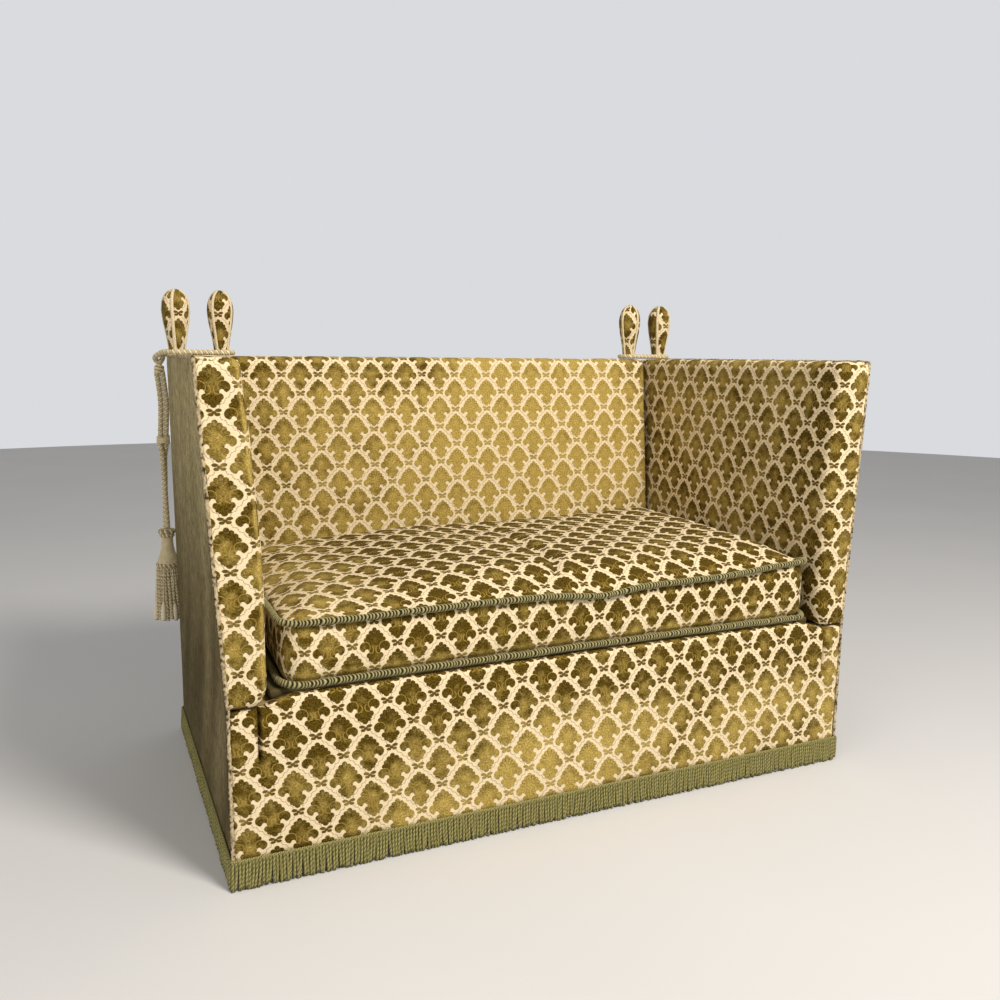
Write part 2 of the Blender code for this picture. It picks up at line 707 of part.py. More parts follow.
def leaned_block(name, side, x_range, y_range, z_range, stations=1, rows=1):
    """A board that follows the arm's lean, with its faces split where they twist."""
    rings = []
    for i in range(stations + 1):
        y = blend(*y_range, i / stations)
        heights = [blend(*z_range, j / rows) for j in range(rows + 1)]
        ring = [leaned(side, x_range[0], y, z) for z in heights]
        ring += [leaned(side, x_range[1], y, z) for z in reversed(heights)]
        rings.append(ring)
    return loft(name, rings)


ARM_FACE_SHARES = (0.90, 0.80, 0.66, 0.50, 0.33, 0.16, 0.05)


def arm_thickness(height_share, depth_share):
    """The arm's thickness: fullest at mid height, and more even towards the back."""
    if height_share < 0.5:
        front = blend(ARM_FOOT_THICKNESS, ARM_MIDDLE_THICKNESS, math.sin(math.pi * height_share))
    else:
        front = blend(ARM_TOP_THICKNESS, ARM_MIDDLE_THICKNESS, math.sin(math.pi * height_share))
    rear = blend(ARM_FOOT_THICKNESS, ARM_REAR_THICKNESS, math.sqrt(height_share))
    return blend(front, rear, depth_share)


def arm_section(side, y, inset):
    """The arm's outline across, drawn in on its inner side and top near a rounded end."""
    top = TOP_HEIGHT - inset / 2
    depth_share = (y - FRONT) / BASE_DEPTH
    height = top - ARM_BOTTOM
    outer = SIDE
    points = [(outer, blend(ARM_BOTTOM, top - ARM_OUTER_TOP_RADIUS, i / ARM_ROWS))
              for i in range(ARM_ROWS)]
    points += arc((outer - ARM_OUTER_TOP_RADIUS, top - ARM_OUTER_TOP_RADIUS),
                  ARM_OUTER_TOP_RADIUS, 0, 90, 2)
    inner_top = outer - arm_thickness(1.0, depth_share) + inset
    points += arc((inner_top + ARM_INNER_TOP_RADIUS, top - ARM_INNER_TOP_RADIUS),
                  ARM_INNER_TOP_RADIUS, 90, 170)
    low = ARM_BOTTOM + ARM_LOWER_RADIUS
    high = top - ARM_INNER_TOP_RADIUS
    for share in ARM_FACE_SHARES:
        z = blend(low, high, share)
        height_share = (z - ARM_BOTTOM) / height
        points.append((outer - arm_thickness(height_share, depth_share) + inset, z))
    inner_low = outer - arm_thickness(0.0, depth_share) + inset
    points += arc((inner_low + ARM_LOWER_RADIUS, low), ARM_LOWER_RADIUS, 180, 270)
    return [leaned(side, x, y, z) for x, z in points]


def arm_rings(side):
    stations = [(FRONT + back, inset) for back, inset in reversed(end_steps(ARM_FRONT_RADIUS))]
    stations.sort()
    first = FRONT + ARM_FRONT_RADIUS
    last = REAR - ARM_REAR_RADIUS
    stations += [(blend(first, last, i / ARM_STATIONS), 0.0) for i in range(1, ARM_STATIONS)]
    stations += sorted((REAR - back, inset) for back, inset in end_steps(ARM_REAR_RADIUS, 2))
    return [arm_section(side, y, inset) for y, inset in stations]


def build_arm(side):
    word = side_name(side)
    axis = empty_on_axis(f"arm_{word}_axis", (side * HINGE_X, 0.0, HINGE_HEIGHT))
    y_range = (FRONT + ARM_FRONT_WRAP, REAR - ARM_REAR_WRAP)
    wood_y = (y_range[0] + CLEARANCE, y_range[1] - CLEARANCE)
    pocket_top = TOP_HEIGHT - ARM_TOP_WRAP
    cover_inner = SIDE - COVER_THICKNESS + CLEARANCE
    wood = (cover_inner - RACK_CLEARANCE - RAIL_THICKNESS, cover_inner - RACK_CLEARANCE)
    web = (wood[0] - RACK_CLEARANCE - WEBBING_THICKNESS, wood[0] - RACK_CLEARANCE)
    pocket_wall = web[0] - RACK_CLEARANCE
    rail_bottom = ARM_LEAF_BOTTOM + LEAF_THICKNESS + CLEARANCE
    rail_top = pocket_top - CLEARANCE
    lower = (rail_bottom, rail_bottom + ARM_RAIL_HEIGHT)
    upper = (rail_top - ARM_RAIL_HEIGHT, rail_top)
    stile = (lower[1] + CLEARANCE, upper[0] - CLEARANCE)
    place(leaned_block(f"arm_bottom_rail_{word}", side, wood, wood_y, lower), "oak", axis)
    top_rail = leaned_block(f"arm_top_rail_{word}", side, wood, wood_y, upper)
    front = (wood_y[0], wood_y[0] + ARM_STILE_WIDTH)
    rear = (wood_y[1] - ARM_STILE_WIDTH, wood_y[1])
    place(leaned_block(f"arm_front_stile_{word}", side, wood, front, stile), "oak", axis)
    place(leaned_block(f"arm_rear_stile_{word}", side, wood, rear, stile), "oak", axis)
    place(leaned_block(f"arm_webbing_{word}", side, web, wood_y, (lower[0] + HINGE_LINE_GAP, rail_top),
                       ARM_STATIONS, ARM_ROWS), "hessian", axis)
    place(leaned_block(f"arm_outer_cover_{word}", side, (cover_inner, SIDE), wood_y,
                       (ARM_BOTTOM, rail_top), ARM_STATIONS, ARM_ROWS), "plain_cover", axis)
    pad = loft(f"arm_pad_{word}", arm_rings(side))
    pocket = leaned_block(f"arm_pocket_{word}", side, (pocket_wall, SIDE + OVERRUN), y_range,
                          (ARM_BOTTOM - OVERRUN, pocket_top), ARM_STATIONS, ARM_ROWS)
    cut(pad, pocket, "Pocket for the frame")
    hole = finial_hole(side * ARM_FINIAL_X, f"arm_peg_hole_{word}")
    cut(pad, hole, "Peg hole")
    cut(top_rail, hole, "Peg hole")
    place(top_rail, "oak", axis)
    place(pad, "cut_velvet", axis)
    place(finial(f"arm_finial_{word}", side * ARM_FINIAL_X), "cut_velvet", axis)
    place(hinge_leaf(f"hinge_arm_leaf_{word}", side, upper_leaf=True), "iron", axis)


def hinge_leaf(name, side, upper_leaf):
    """A long flat leaf with every other rolled knuckle of the hinge on its edge."""
    low = ARM_LEAF_BOTTOM if upper_leaf else BASE_LEAF_TOP - LEAF_THICKNESS
    high = low + LEAF_THICKNESS
    knuckle_length = HINGE_LENGTH / KNUCKLES
    edge = HINGE_X - KNUCKLE_RADIUS - LEAF_GAP
    start = -HINGE_LENGTH / 2
    inner, outer = sorted((side * (HINGE_X - LEAF_WIDTH), side * edge))
    leaf = box(name, (inner, start, low), (outer, -start, high))
    for i in range(1 if upper_leaf else 0, KNUCKLES, 2):
        y_from = start + i * knuckle_length + LEAF_GAP / 2
        y_to = y_from + knuckle_length - LEAF_GAP
        near, far = sorted((side * (edge - LEAF_GAP), side * HINGE_X))
        join(leaf, box(f"{name}_tongue_{i}", (near, y_from, low), (far, y_to, high)))
        join(leaf, cylinder_y(f"{name}_knuckle_{i}", side, y_from, y_to, KNUCKLE_RADIUS))
    bore = cylinder_y(f"{name}_bore", side, start - OVERRUN, OVERRUN - start,
                      PIN_RADIUS + PIN_CLEARANCE)
    cut(leaf, bore, "Pin bore")
    return leaf


def build_hinge_fixings(side):
    word = side_name(side)
    place(hinge_leaf(f"hinge_base_leaf_{word}", side, upper_leaf=False), "iron")
    reach = HINGE_LENGTH / 2 + CLEARANCE
    pin = cylinder_y(f"hinge_pin_{word}", side, -reach - PIN_HEAD_LENGTH / 2,
                     reach + PIN_HEAD_LENGTH / 2, PIN_RADIUS)
    for end in (-1, 1):
        near, far = sorted((end * reach, end * (reach + PIN_HEAD_LENGTH)))
        join(pin, cylinder_y(f"hinge_pin_{word}_head_{end}", side, near, far, PIN_HEAD_RADIUS))
    place(pin, "iron")


CUSHION_SIDE_POINTS = 14
CUSHION_END_POINTS = 8
CUSHION_RING_SHARES = (0.95, 0.86, 0.72, 0.54, 0.34, 0.14)


def cushion_ends():
    front = FRONT + CUSHION_FRONT_SETBACK
    rear = REAR - BACK_SEAT_THICKNESS - CUSHION_CORD_RADIUS - CUSHION_REAR_GAP
    return front, rear


def cushion_outline(inset):
    """The cushion in plan: round corners, with the sides drawn in between them."""
    front, rear = cushion_ends()
    half_x = CUSHION_HALF_WIDTH - inset
    half_y = (rear - front) / 2 - inset
    middle_y = (front + rear) / 2
    radius = CUSHION_CORNER_RADIUS - inset
    points = []
    corners = ((1, -1, -90), (1, 1, 0), (-1, 1, 90), (-1, -1, 180))
    for number, (sx, sy, start) in enumerate(corners):
        centre = (sx * (half_x - radius), sy * (half_y - radius))
        points += arc(centre, radius, start, start + 90)
        next_x, next_y = corners[(number + 1) % 4][:2]
        after = (next_x * (half_x - radius), next_y * (half_y - radius))
        count = CUSHION_END_POINTS if next_x == sx else CUSHION_SIDE_POINTS
        outward = (sx if next_x == sx else 0, sy if next_y == sy else 0)
        for i in range(1, count):
            share = i / count
            draw = CUSHION_DRAW_IN * math.sin(math.pi * share)
            x = blend(centre[0], after[0], share) + outward[0] * (radius - draw)
            y = blend(centre[1], after[1], share) + outward[1] * (radius - draw)
            points.append((x, y))
    return [(x, y + middle_y) for x, y in points]


def crown(x, y):
    """The height of the filled top above its cord, highest behind the middle."""
    front, rear = cushion_ends()
    peak = front + CUSHION_CROWN_FROM_FRONT
    along = 1 - ((y - peak) / CUSHION_CROWN_FROM_FRONT) ** 2
    if y > peak:
        reach = rear - peak
        along = 1 - 0.6 * ((y - peak) / reach) ** 2 - 0.4 * ((y - peak) / reach) ** 8
    across = 1 - (abs(x) / CUSHION_HALF_WIDTH) ** 8
    dip = CUSHION_MIDDLE_DIP * math.exp(-((x / CUSHION_DIP_HALF_WIDTH) ** 2))
    return max(along, 0.0) * max(across, 0.0) * (CUSHION_CROWN - dip)


def build_cushion():
    home = empty_on_axis("cushion_rest", (0.0, 0.0, DECK_TOP))
    notch = math.sqrt(2) * (CUSHION_CORD_RADIUS + CLEARANCE)
    bottom = DECK_TOP + CLEARANCE
    low, high = CUSHION_LOWER_CORD, CUSHION_UPPER_CORD
    edge = cushion_outline(0.0)
    drawn = cushion_outline(notch)
    rings = [[(x, y, bottom) for x, y in cushion_outline(2 * notch)],
             [(x, y, low) for x, y in drawn], [(x, y, low + notch) for x, y in edge]]
    for share in (0.33, 0.67):
        belly = cushion_outline(-CUSHION_BULGE * math.sin(math.pi * share))
        rings.append([(x, y, blend(low + notch, high - notch, share)) for x, y in belly])
    rings += [[(x, y, high - notch) for x, y in edge], [(x, y, high) for x, y in drawn]]
    middle = sum(cushion_ends()) / 2
    for share in CUSHION_RING_SHARES:
        ring = [(x * share, middle + (y - middle) * share) for x, y in drawn]
        rings.append([(x, y, high + crown(x, y)) for x, y in ring])
    place(loft("seat_cushion", rings), "cut_velvet", home)
    for name, level in (("cushion_cord_bottom", low), ("cushion_cord_top", high)):
        route = [(x, y, level) for x, y in edge]
        place(tube(name, route, CUSHION_CORD_RADIUS, cyclic=True, fineness=1), "trim_cord", home)


def smooth_route(anchors, step, closed=False):
    """Evenly spaced points on a smooth curve through hand-placed anchors."""
    anchors = [Vector(a) for a in anchors]
    count = len(anchors)
    dense = []
    spans = count if closed else count - 1
    for i in range(spans):
        if closed:
            before, one, two, after = (anchors[(i + k) % count] for k in (-1, 0, 1, 2))
        else:
            before, one, two, after = (anchors[min(max(i + k, 0), count - 1)] for k in (-1, 0, 1, 2))
        for j in range(12):
            t = j / 12
            dense.append(0.5 * (2 * one + (two - before) * t
                                + (2 * before - 5 * one + 4 * two - after) * t * t
                                + (3 * one - before - 3 * two + after) * t ** 3))
    dense.append(anchors[0] if closed else anchors[-1])
    lengths = [0.0]
    for one, two in zip(dense, dense[1:]):
        lengths.append(lengths[-1] + (two - one).length)
    wanted = max(4, round(lengths[-1] / step))
    points = []
    place_at = 0
    for i in range(wanted + (0 if closed else 1)):
        goal = lengths[-1] * i / wanted
        while place_at < len(lengths) - 2 and lengths[place_at + 1] < goal:
            place_at += 1
        span = lengths[place_at + 1] - lengths[place_at]
        share = (goal - lengths[place_at]) / span if span else 0.0
        points.append(tuple(dense[place_at].lerp(dense[place_at + 1], min(share, 1.0))))
    return points


def tie_loop_route(side):
    """Round the back finial, past both finials front and rear, and down to the knot behind."""
    reach = FINIAL_NECK_RADIUS + TIE_RADIUS + TIE_STANDOFF
    rest = TOP_HEIGHT + TIE_RADIUS + TIE_CLEARANCE
    half = TIE_STRAND_SPACING / 2 + TIE_CLEARANCE
    knot_y = REAR + KNOT_BEHIND
    anchors = []
    for x, y in arc((-BACK_FINIAL_X, FINIAL_Y), reach, 90, -90, 6):
        anchors.append((-x, y, rest))
    middle = (ARM_FINIAL_X + BACK_FINIAL_X) / 2
    anchors.append((middle, FINIAL_Y - reach, rest))
    anchors.append((ARM_FINIAL_X, FINIAL_Y - reach, rest))
    anchors.append((ARM_FINIAL_X + reach * 0.8, FINIAL_Y - reach * 0.55, rest))
    anchors.append((SIDE + TIE_RADIUS + half, FINIAL_Y + reach * 0.25, rest))
    anchors.append((KNOT_X + half, REAR + TIE_RADIUS / 2, TOP_HEIGHT - TIE_RADIUS / 2))
    top_of_knot = KNOT_LEVEL + KNOT_RADIUS + TIE_RADIUS - LOOP_END_REACH
    anchors.append((KNOT_X + half, knot_y, top_of_knot + half))
    anchors.append((KNOT_X, knot_y, top_of_knot))
    anchors.append((KNOT_X - half, knot_y, top_of_knot + half))
    anchors.append((KNOT_X - half * 2, REAR + TIE_RADIUS, rest))
    anchors.append((ARM_FINIAL_X, FINIAL_Y + reach, rest))
    anchors.append((middle, FINIAL_Y + reach, rest))
    return [(side * x, y, z) for x, y, z in anchors]


def build_tie(side):
    word = side_name(side)
    loop = smooth_route(tie_loop_route(side), LOOP_STEP, closed=True)
    place(tube(f"tie_loop_{word}", loop, TIE_RADIUS, cyclic=True), "tie_cord")
    knot_y = REAR + KNOT_BEHIND
    tassel_y = REAR + TASSEL_BEHIND
    home = empty_on_axis(f"tie_tail_{word}_slide", (side * KNOT_X, knot_y, KNOT_LEVEL))
    maker = bmesh.new()
    bmesh.ops.create_uvsphere(
        maker, u_segments=ROUND_SIDES, v_segments=6, radius=KNOT_RADIUS,
        matrix=Matrix.Translation((side * KNOT_X, knot_y, KNOT_LEVEL)),
    )
    tail = mesh_object(f"tie_tail_{word}", maker)
    strand_top = KNOT_LEVEL - KNOT_RADIUS / 2
    half = TIE_STRAND_SPACING / 2
    for offset in (-half, half):
        anchors = [
            (KNOT_X + offset, knot_y, strand_top),
            (KNOT_X - half + offset * 1.2, blend(knot_y, tassel_y, 0.1),
             blend(strand_top, TASSEL_TOP, 0.2)),
            (TASSEL_X - CLEARANCE + offset, blend(knot_y, tassel_y, 0.35),
             blend(strand_top, TASSEL_TOP, 0.45)),
            (TASSEL_X + offset, blend(knot_y, tassel_y, 0.8), blend(strand_top, TASSEL_TOP, 0.7)),
            (TASSEL_X + offset, tassel_y, TASSEL_TOP + STRAND_STRAIGHT_END),
            (TASSEL_X + offset, tassel_y, TASSEL_TOP + CLEARANCE),
        ]
        route = [(side * x, y, z) for x, y, z in smooth_route(anchors, STRAND_STEP)]
        strand = tube(f"tie_strand_{word}_{'inner' if offset < 0 else 'outer'}", route, TIE_RADIUS)
        join(tail, mesh_from_curve(strand))
    place(tail, "tie_cord", home)
    place(tassel(f"tassel_{word}", side * TASSEL_X, tassel_y), "tie_cord", home)


TASSEL_SHAPE_SHARES = (("collar", 1.0, 0.55), ("collar", 0.96, 1.0), ("collar", 0.915, 0.95),
                       ("neck", 0.87, 1.0), ("neck", 0.76, 1.08), ("ring", 0.66, 0.86),
                       ("ring", 0.62, 1.0), ("ring", 0.55, 0.97), ("skirt", 0.25, 0.86),
                       ("skirt", 0.0, 1.0))


def tassel(name, x, y):
    """A knotted collar, a flared head with its ring, and a full skirt."""
    radii = {"collar": TASSEL_COLLAR_RADIUS, "neck": TASSEL_NECK_RADIUS,
             "ring": TASSEL_RING_RADIUS, "skirt": TASSEL_SKIRT_RADIUS}
    profile = [(0.0, TASSEL_TOP - TASSEL_BOTTOM)]
    for part, height_share, radius_share in TASSEL_SHAPE_SHARES:
        profile.append((radii[part] * radius_share, (TASSEL_TOP - TASSEL_BOTTOM) * height_share))
    profile.append((0.0, 0.0))
    return turned(name, profile, (x, y, TASSEL_BOTTOM), TASSEL_SIDES)


clear_scene()
PARTS = new_collection("knole_sofa")
GUIDES = new_collection("cutters")
MATERIALS = make_materials()
build_base_frame()
build_sprung_seat()
build_base_covers()
build_fringe()
build_back()
for arm_side in (-1, 1):
    build_hinge_fixings(arm_side)
    build_arm(arm_side)
    build_tie(arm_side)
build_cushion()
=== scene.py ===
"""Knole sofa: covers, padding, fringe and tie cords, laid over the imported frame.

Metres, +Z up, front towards -Y. The sofa is covered in cut moquette: an olive pile that stands on a
cream ground, in a lattice of bands with a palmette in each cell. Its outer sides are plain.
"""

import math
import random

import bmesh
import bpy
import numpy as np
from mathutils import Matrix, Vector, noise


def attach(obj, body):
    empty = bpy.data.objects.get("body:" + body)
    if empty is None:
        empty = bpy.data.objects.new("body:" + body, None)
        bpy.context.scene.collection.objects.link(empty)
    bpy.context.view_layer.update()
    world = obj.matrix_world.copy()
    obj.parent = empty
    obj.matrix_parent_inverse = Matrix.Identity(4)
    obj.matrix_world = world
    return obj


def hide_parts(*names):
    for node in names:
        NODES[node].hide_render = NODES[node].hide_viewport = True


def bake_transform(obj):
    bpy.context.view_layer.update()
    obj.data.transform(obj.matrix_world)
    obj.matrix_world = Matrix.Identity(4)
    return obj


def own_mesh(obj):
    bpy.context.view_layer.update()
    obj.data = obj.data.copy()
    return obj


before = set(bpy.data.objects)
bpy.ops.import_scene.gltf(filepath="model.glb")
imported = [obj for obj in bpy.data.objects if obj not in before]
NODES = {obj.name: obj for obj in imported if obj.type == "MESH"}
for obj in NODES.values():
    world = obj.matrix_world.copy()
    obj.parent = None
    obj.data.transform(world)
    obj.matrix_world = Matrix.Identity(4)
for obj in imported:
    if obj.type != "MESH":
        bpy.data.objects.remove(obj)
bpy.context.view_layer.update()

# Where the photograph was taken from
CAMERA_PLACE = (-0.9667, -2.1120, 1.0057)
CAMERA_YAW, CAMERA_PITCH, CAMERA_ROLL = (math.radians(a) for a in (24.5545, 8.803, 0.5247))
CAMERA_LENS, CAMERA_SENSOR = 33.52, 36.0

# The upholstered body
SIDE = 0.742
FRONT = -0.425
REAR = 0.425
DEPTH = REAR - FRONT
HINGE_HEIGHT = 0.350
TOP = 1.000
COVER_BOTTOM = 0.045
BASE_COVER_TOP = 0.345
COVER_THICKNESS = 0.009
COVER_GAP = 0.0015
FRINGE_TOP = 0.061
FRINGE_LIFT = 0.002
FRINGE_HANG = FRINGE_TOP - 0.002    # where its strands begin
FRINGE_PITCH = 0.0064
FRINGE_STRAND_RADIUS = 0.0029
FRINGE_TURNS = 3.0

# Arms
ARM_BOTTOM = 0.355
ARM_LEAN_FRONT = 0.036
ARM_LEAN_REAR = 0.004
ARM_FOOT_THICKNESS = 0.077
ARM_MIDDLE_THICKNESS = 0.090
ARM_TOP_THICKNESS = 0.083
ARM_REAR_THICKNESS = 0.080
ARM_ROUNDING = 0.022
ARM_FOLD = 0.3515

# Front border and back
BORDER_HALF_WIDTH = 0.672
BORDER_TOP = 0.370
BORDER_THICKNESS = 0.030
BORDER_CORNER = 0.0195
WING_TOP = 0.3500
SLIT_X = 0.685
SLIT_BOTTOM = 0.245
BACK_HALF_WIDTH = 0.651
BACK_BOTTOM = 0.378
BACK_SEAT_THICKNESS = 0.120
BACK_TOP_THICKNESS = 0.075
BACK_TUCK = 0.015
BACK_ROUNDING = 0.024
BACK_COVER_HALF_WIDTH = 0.6405
BACK_COVER_TOP = 0.985
BACK_PAD_GAP = 0.005
ROUND_FACE = 0.026    # how deep a pad's rounded front is

# Seat
DECK_TOP = 0.3745
DECK_HALF_WIDTH = 0.660
DECK_GAP = 0.0006
CUSHION_HALF_WIDTH = 0.656
CUSHION_FRONT = FRONT + 0.001
CUSHION_REAR = 0.2965
CUSHION_MIDDLE_Y = (CUSHION_FRONT + CUSHION_REAR) / 2
CUSHION_HALF_DEPTH = (CUSHION_REAR - CUSHION_FRONT) / 2
CUSHION_CORNER_RADIUS = 0.054
CUSHION_LOWER_CORD = 0.3845
CUSHION_UPPER_CORD = 0.505
CUSHION_CROWN = 0.050
CUSHION_MIDDLE_DIP = 0.004
CUSHION_DIP_HALF_WIDTH = 0.130
CUSHION_DRAW_IN = 0.005
CUSHION_CORD_RADIUS = 0.0065
SEAM_REACH = 0.030
SEAM_PULL = 0.006
FILLING_FRAMES = 20

# Finials, tie cords and tassels
FINIAL_HEIGHT = 0.164
FINIAL_NECK_RADIUS = 0.0185
FINIAL_BULB_RADIUS = 0.0335
FINIAL_Y = 0.393
ARM_FINIAL_X = 0.722
BACK_FINIAL_X = 0.6136
TIE_RADIUS = 0.0065
TIE_STRAND_SPACING = 0.0137
TIE_CLEARANCE = 0.0008
TIE_STANDOFF = 0.0022
KNOT_X = 0.763
KNOT_Y = 0.445
KNOT_LEVEL = 0.965
KNOT_RADIUS = 0.0125
LOOP_END_REACH = 0.0032
TASSEL_X = 0.7605
TASSEL_Y = 0.4685
TASSEL_TOP = 0.548
TASSEL_BOTTOM = 0.291
TIE_BINDING_LEVEL = 0.782
TIE_TURN = math.radians(68)
TIE_WINDING = math.radians(200)

# The moquette's repeat, and where one crossing of its bands falls on each piece
REPEAT_WIDTH = 0.0965
REPEAT_HEIGHT = 0.0960
BORDER_CROSSING = (-0.6255, 0.234)
BORDER_SLANT = 0.088
BORDER_STRETCH = 0.0965 / 0.0987
BACK_CROSSING = (-0.5684, 0.9519)
LEFT_ARM_CROSSING = (0.7165, 0.904)
RIGHT_ARM_CROSSING = (0.672, 0.9448)
BOXING_CROSSING = (0.0536, 0.4445)
BOXING_REPEAT = 0.0927
CUSHION_TOP_CROSSING = (-0.0625, -0.376)


ON_FACE = 0.001    # a point that is this near a face of a block lies on it
CHART_RADIUS = 0.006    # sets how wide the weave lies round a cord
# The corners of a rectangle in plan, each with the direction in which its arc starts, in degrees
CORNERS = ((1, -1, -90), (1, 1, 0), (-1, 1, 90), (-1, -1, 180))


# ---------------------------------------------------------------- small helpers

def blend(start, end, share):
    return start + (end - start) * share


def ramp(start, end, value):
    """Eases from 0 at start to 1 at end."""
    share = min(max((value - start) / (end - start), 0.0), 1.0)
    return share * share * (3 - 2 * share)


def ripple(x, y, z, size, seed=0.0):
    """Smooth unevenness from about -1 to 1, whose bumps are size metres across."""
    return 2.0 * noise.noise(Vector((x / size + seed, y / size - seed, z / size + 2.3 * seed)))


def deselect():
    for obj in bpy.context.selected_objects:
        obj.select_set(False)


def pick(obj):
    deselect()
    obj.select_set(True)
    bpy.context.view_layer.objects.active = obj


def choose(obj, kind, test):
    """In edit mode, selects the edges or faces whose middle, and direction or normal, pass a test."""
    bpy.ops.mesh.select_mode(type={"edges": "EDGE", "faces": "FACE"}[kind])
    bpy.ops.mesh.select_all(action="DESELECT")
    cage = bmesh.from_edit_mesh(obj.data)
    for item in getattr(cage, kind):
        middle = sum((v.co for v in item.verts), Vector()) / len(item.verts)
        along = item.normal if kind == "faces" else (item.verts[1].co - item.verts[0].co).normalized()
        item.select = test(middle, along)
    cage.select_flush_mode()
    bmesh.update_edit_mesh(obj.data)


def block(name, low, high):
    """A box between two corners, in edit mode, with everything deselected first."""
    deselect()
    middle = [(a + b) / 2 for a, b in zip(low, high)]
    bpy.ops.mesh.primitive_cube_add(size=1, location=middle)
    obj = bpy.context.object
    obj.name = name
    obj.scale = [b - a for a, b in zip(low, high)]
    bpy.ops.object.transform_apply()
    bpy.ops.object.mode_set(mode="EDIT")
    return obj


def round_edges(obj, radius, segments, test):
    choose(obj, "edges", test)
    bpy.ops.mesh.bevel(offset=radius, segments=segments, profile=0.5, affect="EDGES")


def widen_below(obj, level, half_width, reach):
    """Extends the ends of a block outwards to reach, but only below a level."""
    slice_across(2, [level])
    for side in (-1, 1):
        choose(obj, "faces", lambda p, n: n.x * side > 0.9 and p.z < level)
        bpy.ops.mesh.extrude_region_move(
            TRANSFORM_OT_translate={"value": (side * (reach - half_width), 0, 0)})


def slice_across(axis, places):
    """Cuts the mesh in edit mode straight across, so that it can bend there."""
    direction = [1.0 if i == axis else 0.0 for i in range(3)]
    for place in places:
        bpy.ops.mesh.select_all(action="SELECT")
        bpy.ops.mesh.bisect(plane_co=[place * d for d in direction], plane_no=direction)


def spaced(low, high, step):
    count = max(2, round((high - low) / step))
    return [blend(low, high, i / count) for i in range(1, count)]


def soften(obj, levels=1):
    """Leaves edit mode and applies a subdivision surface."""
    if obj.mode == "EDIT":
        bpy.ops.object.mode_set(mode="OBJECT")
    pick(obj)
    step = obj.modifiers.new("Soften", "SUBSURF")
    step.levels = step.render_levels = levels
    bpy.ops.object.modifier_apply(modifier=step.name)
    bpy.ops.object.shade_smooth()


def new_weave(mesh):
    """A fresh chart of the weave, in metres, in place of any others."""
    while mesh.uv_layers:
        mesh.uv_layers.remove(mesh.uv_layers[0])
    return mesh.uv_layers.new(name="weave")


def lay_weave(mesh, place_of):
    """Charts the weave from a place for each vertex."""
    weave = new_weave(mesh)
    for loop in mesh.loops:
        weave.data[loop.index].uv = place_of(loop.vertex_index)


def new_object(name, mesh):
    obj = bpy.data.objects.new(name, mesh)
    bpy.context.scene.collection.objects.link(obj)
    return obj


def fit_pad(obj, chart, shape, wear_and_light=None):
    """Lays the weave on a pad while it is flat, and then gives it its real shape."""
    mesh = obj.data
    flat = [v.co.copy() for v in mesh.vertices]
    weave = new_weave(mesh)
    for polygon in mesh.polygons:
        normal = polygon.normal.copy()
        for loop in polygon.loop_indices:
            weave.data[loop].uv = chart(*flat[mesh.loops[loop].vertex_index], normal)
    for vertex, where in zip(mesh.vertices, flat):
        vertex.co = shape(*where)
    paint(obj, "wear_and_light", [wear_and_light(*where) if wear_and_light else 0.0 for where in flat])


def paint(obj, name, values):
    """A number for each vertex, that a material can read."""
    layer = obj.data.attributes.new(name, "FLOAT", "POINT")
    layer.data.foreach_set("value", np.asarray(values, np.float32))


def unroll(before, past, radius):
    """How far round a rounded corner a point lies, from below zero before it to above zero past it."""
    if before >= radius:
        return -before
    if past >= radius:
        return past + radius * (math.pi / 2 - 2)
    return -radius + radius * math.atan2(radius - before, radius - past)


def finish(obj, material, body=None, replaced=()):
    """Gives a piece its material and the body it rides on, and hides the parts of the model that it stands
    for.
    """
    obj.data.materials.clear()
    obj.data.materials.append(MATERIALS[material])
    if body:
        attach(obj, body)
    if replaced:
        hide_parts(*replaced)
    return obj


def join_pieces(pieces, name):
    pick(pieces[0])
    for piece in pieces[1:]:
        piece.select_set(True)
    bpy.ops.object.join()
    whole = bpy.context.object
    whole.name = name
    return whole


def around(x, y, z, reach, turn):
    """A point at a distance from an upright axis, in one direction from it."""
    return Vector((x + reach * math.cos(turn), y + reach * math.sin(turn), z))


def side_name(side):
    return "right" if side > 0 else "left"


# ---------------------------------------------------------------- camera, light and floor

def set_camera():
    bpy.ops.object.camera_add()
    camera = bpy.context.object
    camera.data.lens = CAMERA_LENS
    camera.data.sensor_width = CAMERA_SENSOR
    camera.data.clip_end = 50
    ahead = Vector((math.sin(CAMERA_YAW) * math.cos(CAMERA_PITCH),
                    math.cos(CAMERA_YAW) * math.cos(CAMERA_PITCH), -math.sin(CAMERA_PITCH)))
    right = Vector((math.cos(CAMERA_YAW), -math.sin(CAMERA_YAW), 0.0))
    up = right.cross(ahead)
    across = right * math.cos(CAMERA_ROLL) + up * math.sin(CAMERA_ROLL)
    upward = up * math.cos(CAMERA_ROLL) - right * math.sin(CAMERA_ROLL)
    turned = Matrix((across, upward, -ahead)).transposed()
    camera.matrix_world = Matrix.Translation(CAMERA_PLACE) @ turned.to_4x4()
    bpy.context.scene.camera = camera


def lamp(name, place, aim, size, power, colour):
    deselect()
    bpy.ops.object.light_add(type="AREA", location=place)
    light = bpy.context.object
    light.name = name
    light.data.shape = "DISK"
    light.data.size = size
    light.data.energy = power
    light.data.color = linear(colour)[:3]
    light.rotation_euler = (Vector(aim) - Vector(place)).to_track_quat("-Z", "Y").to_euler()


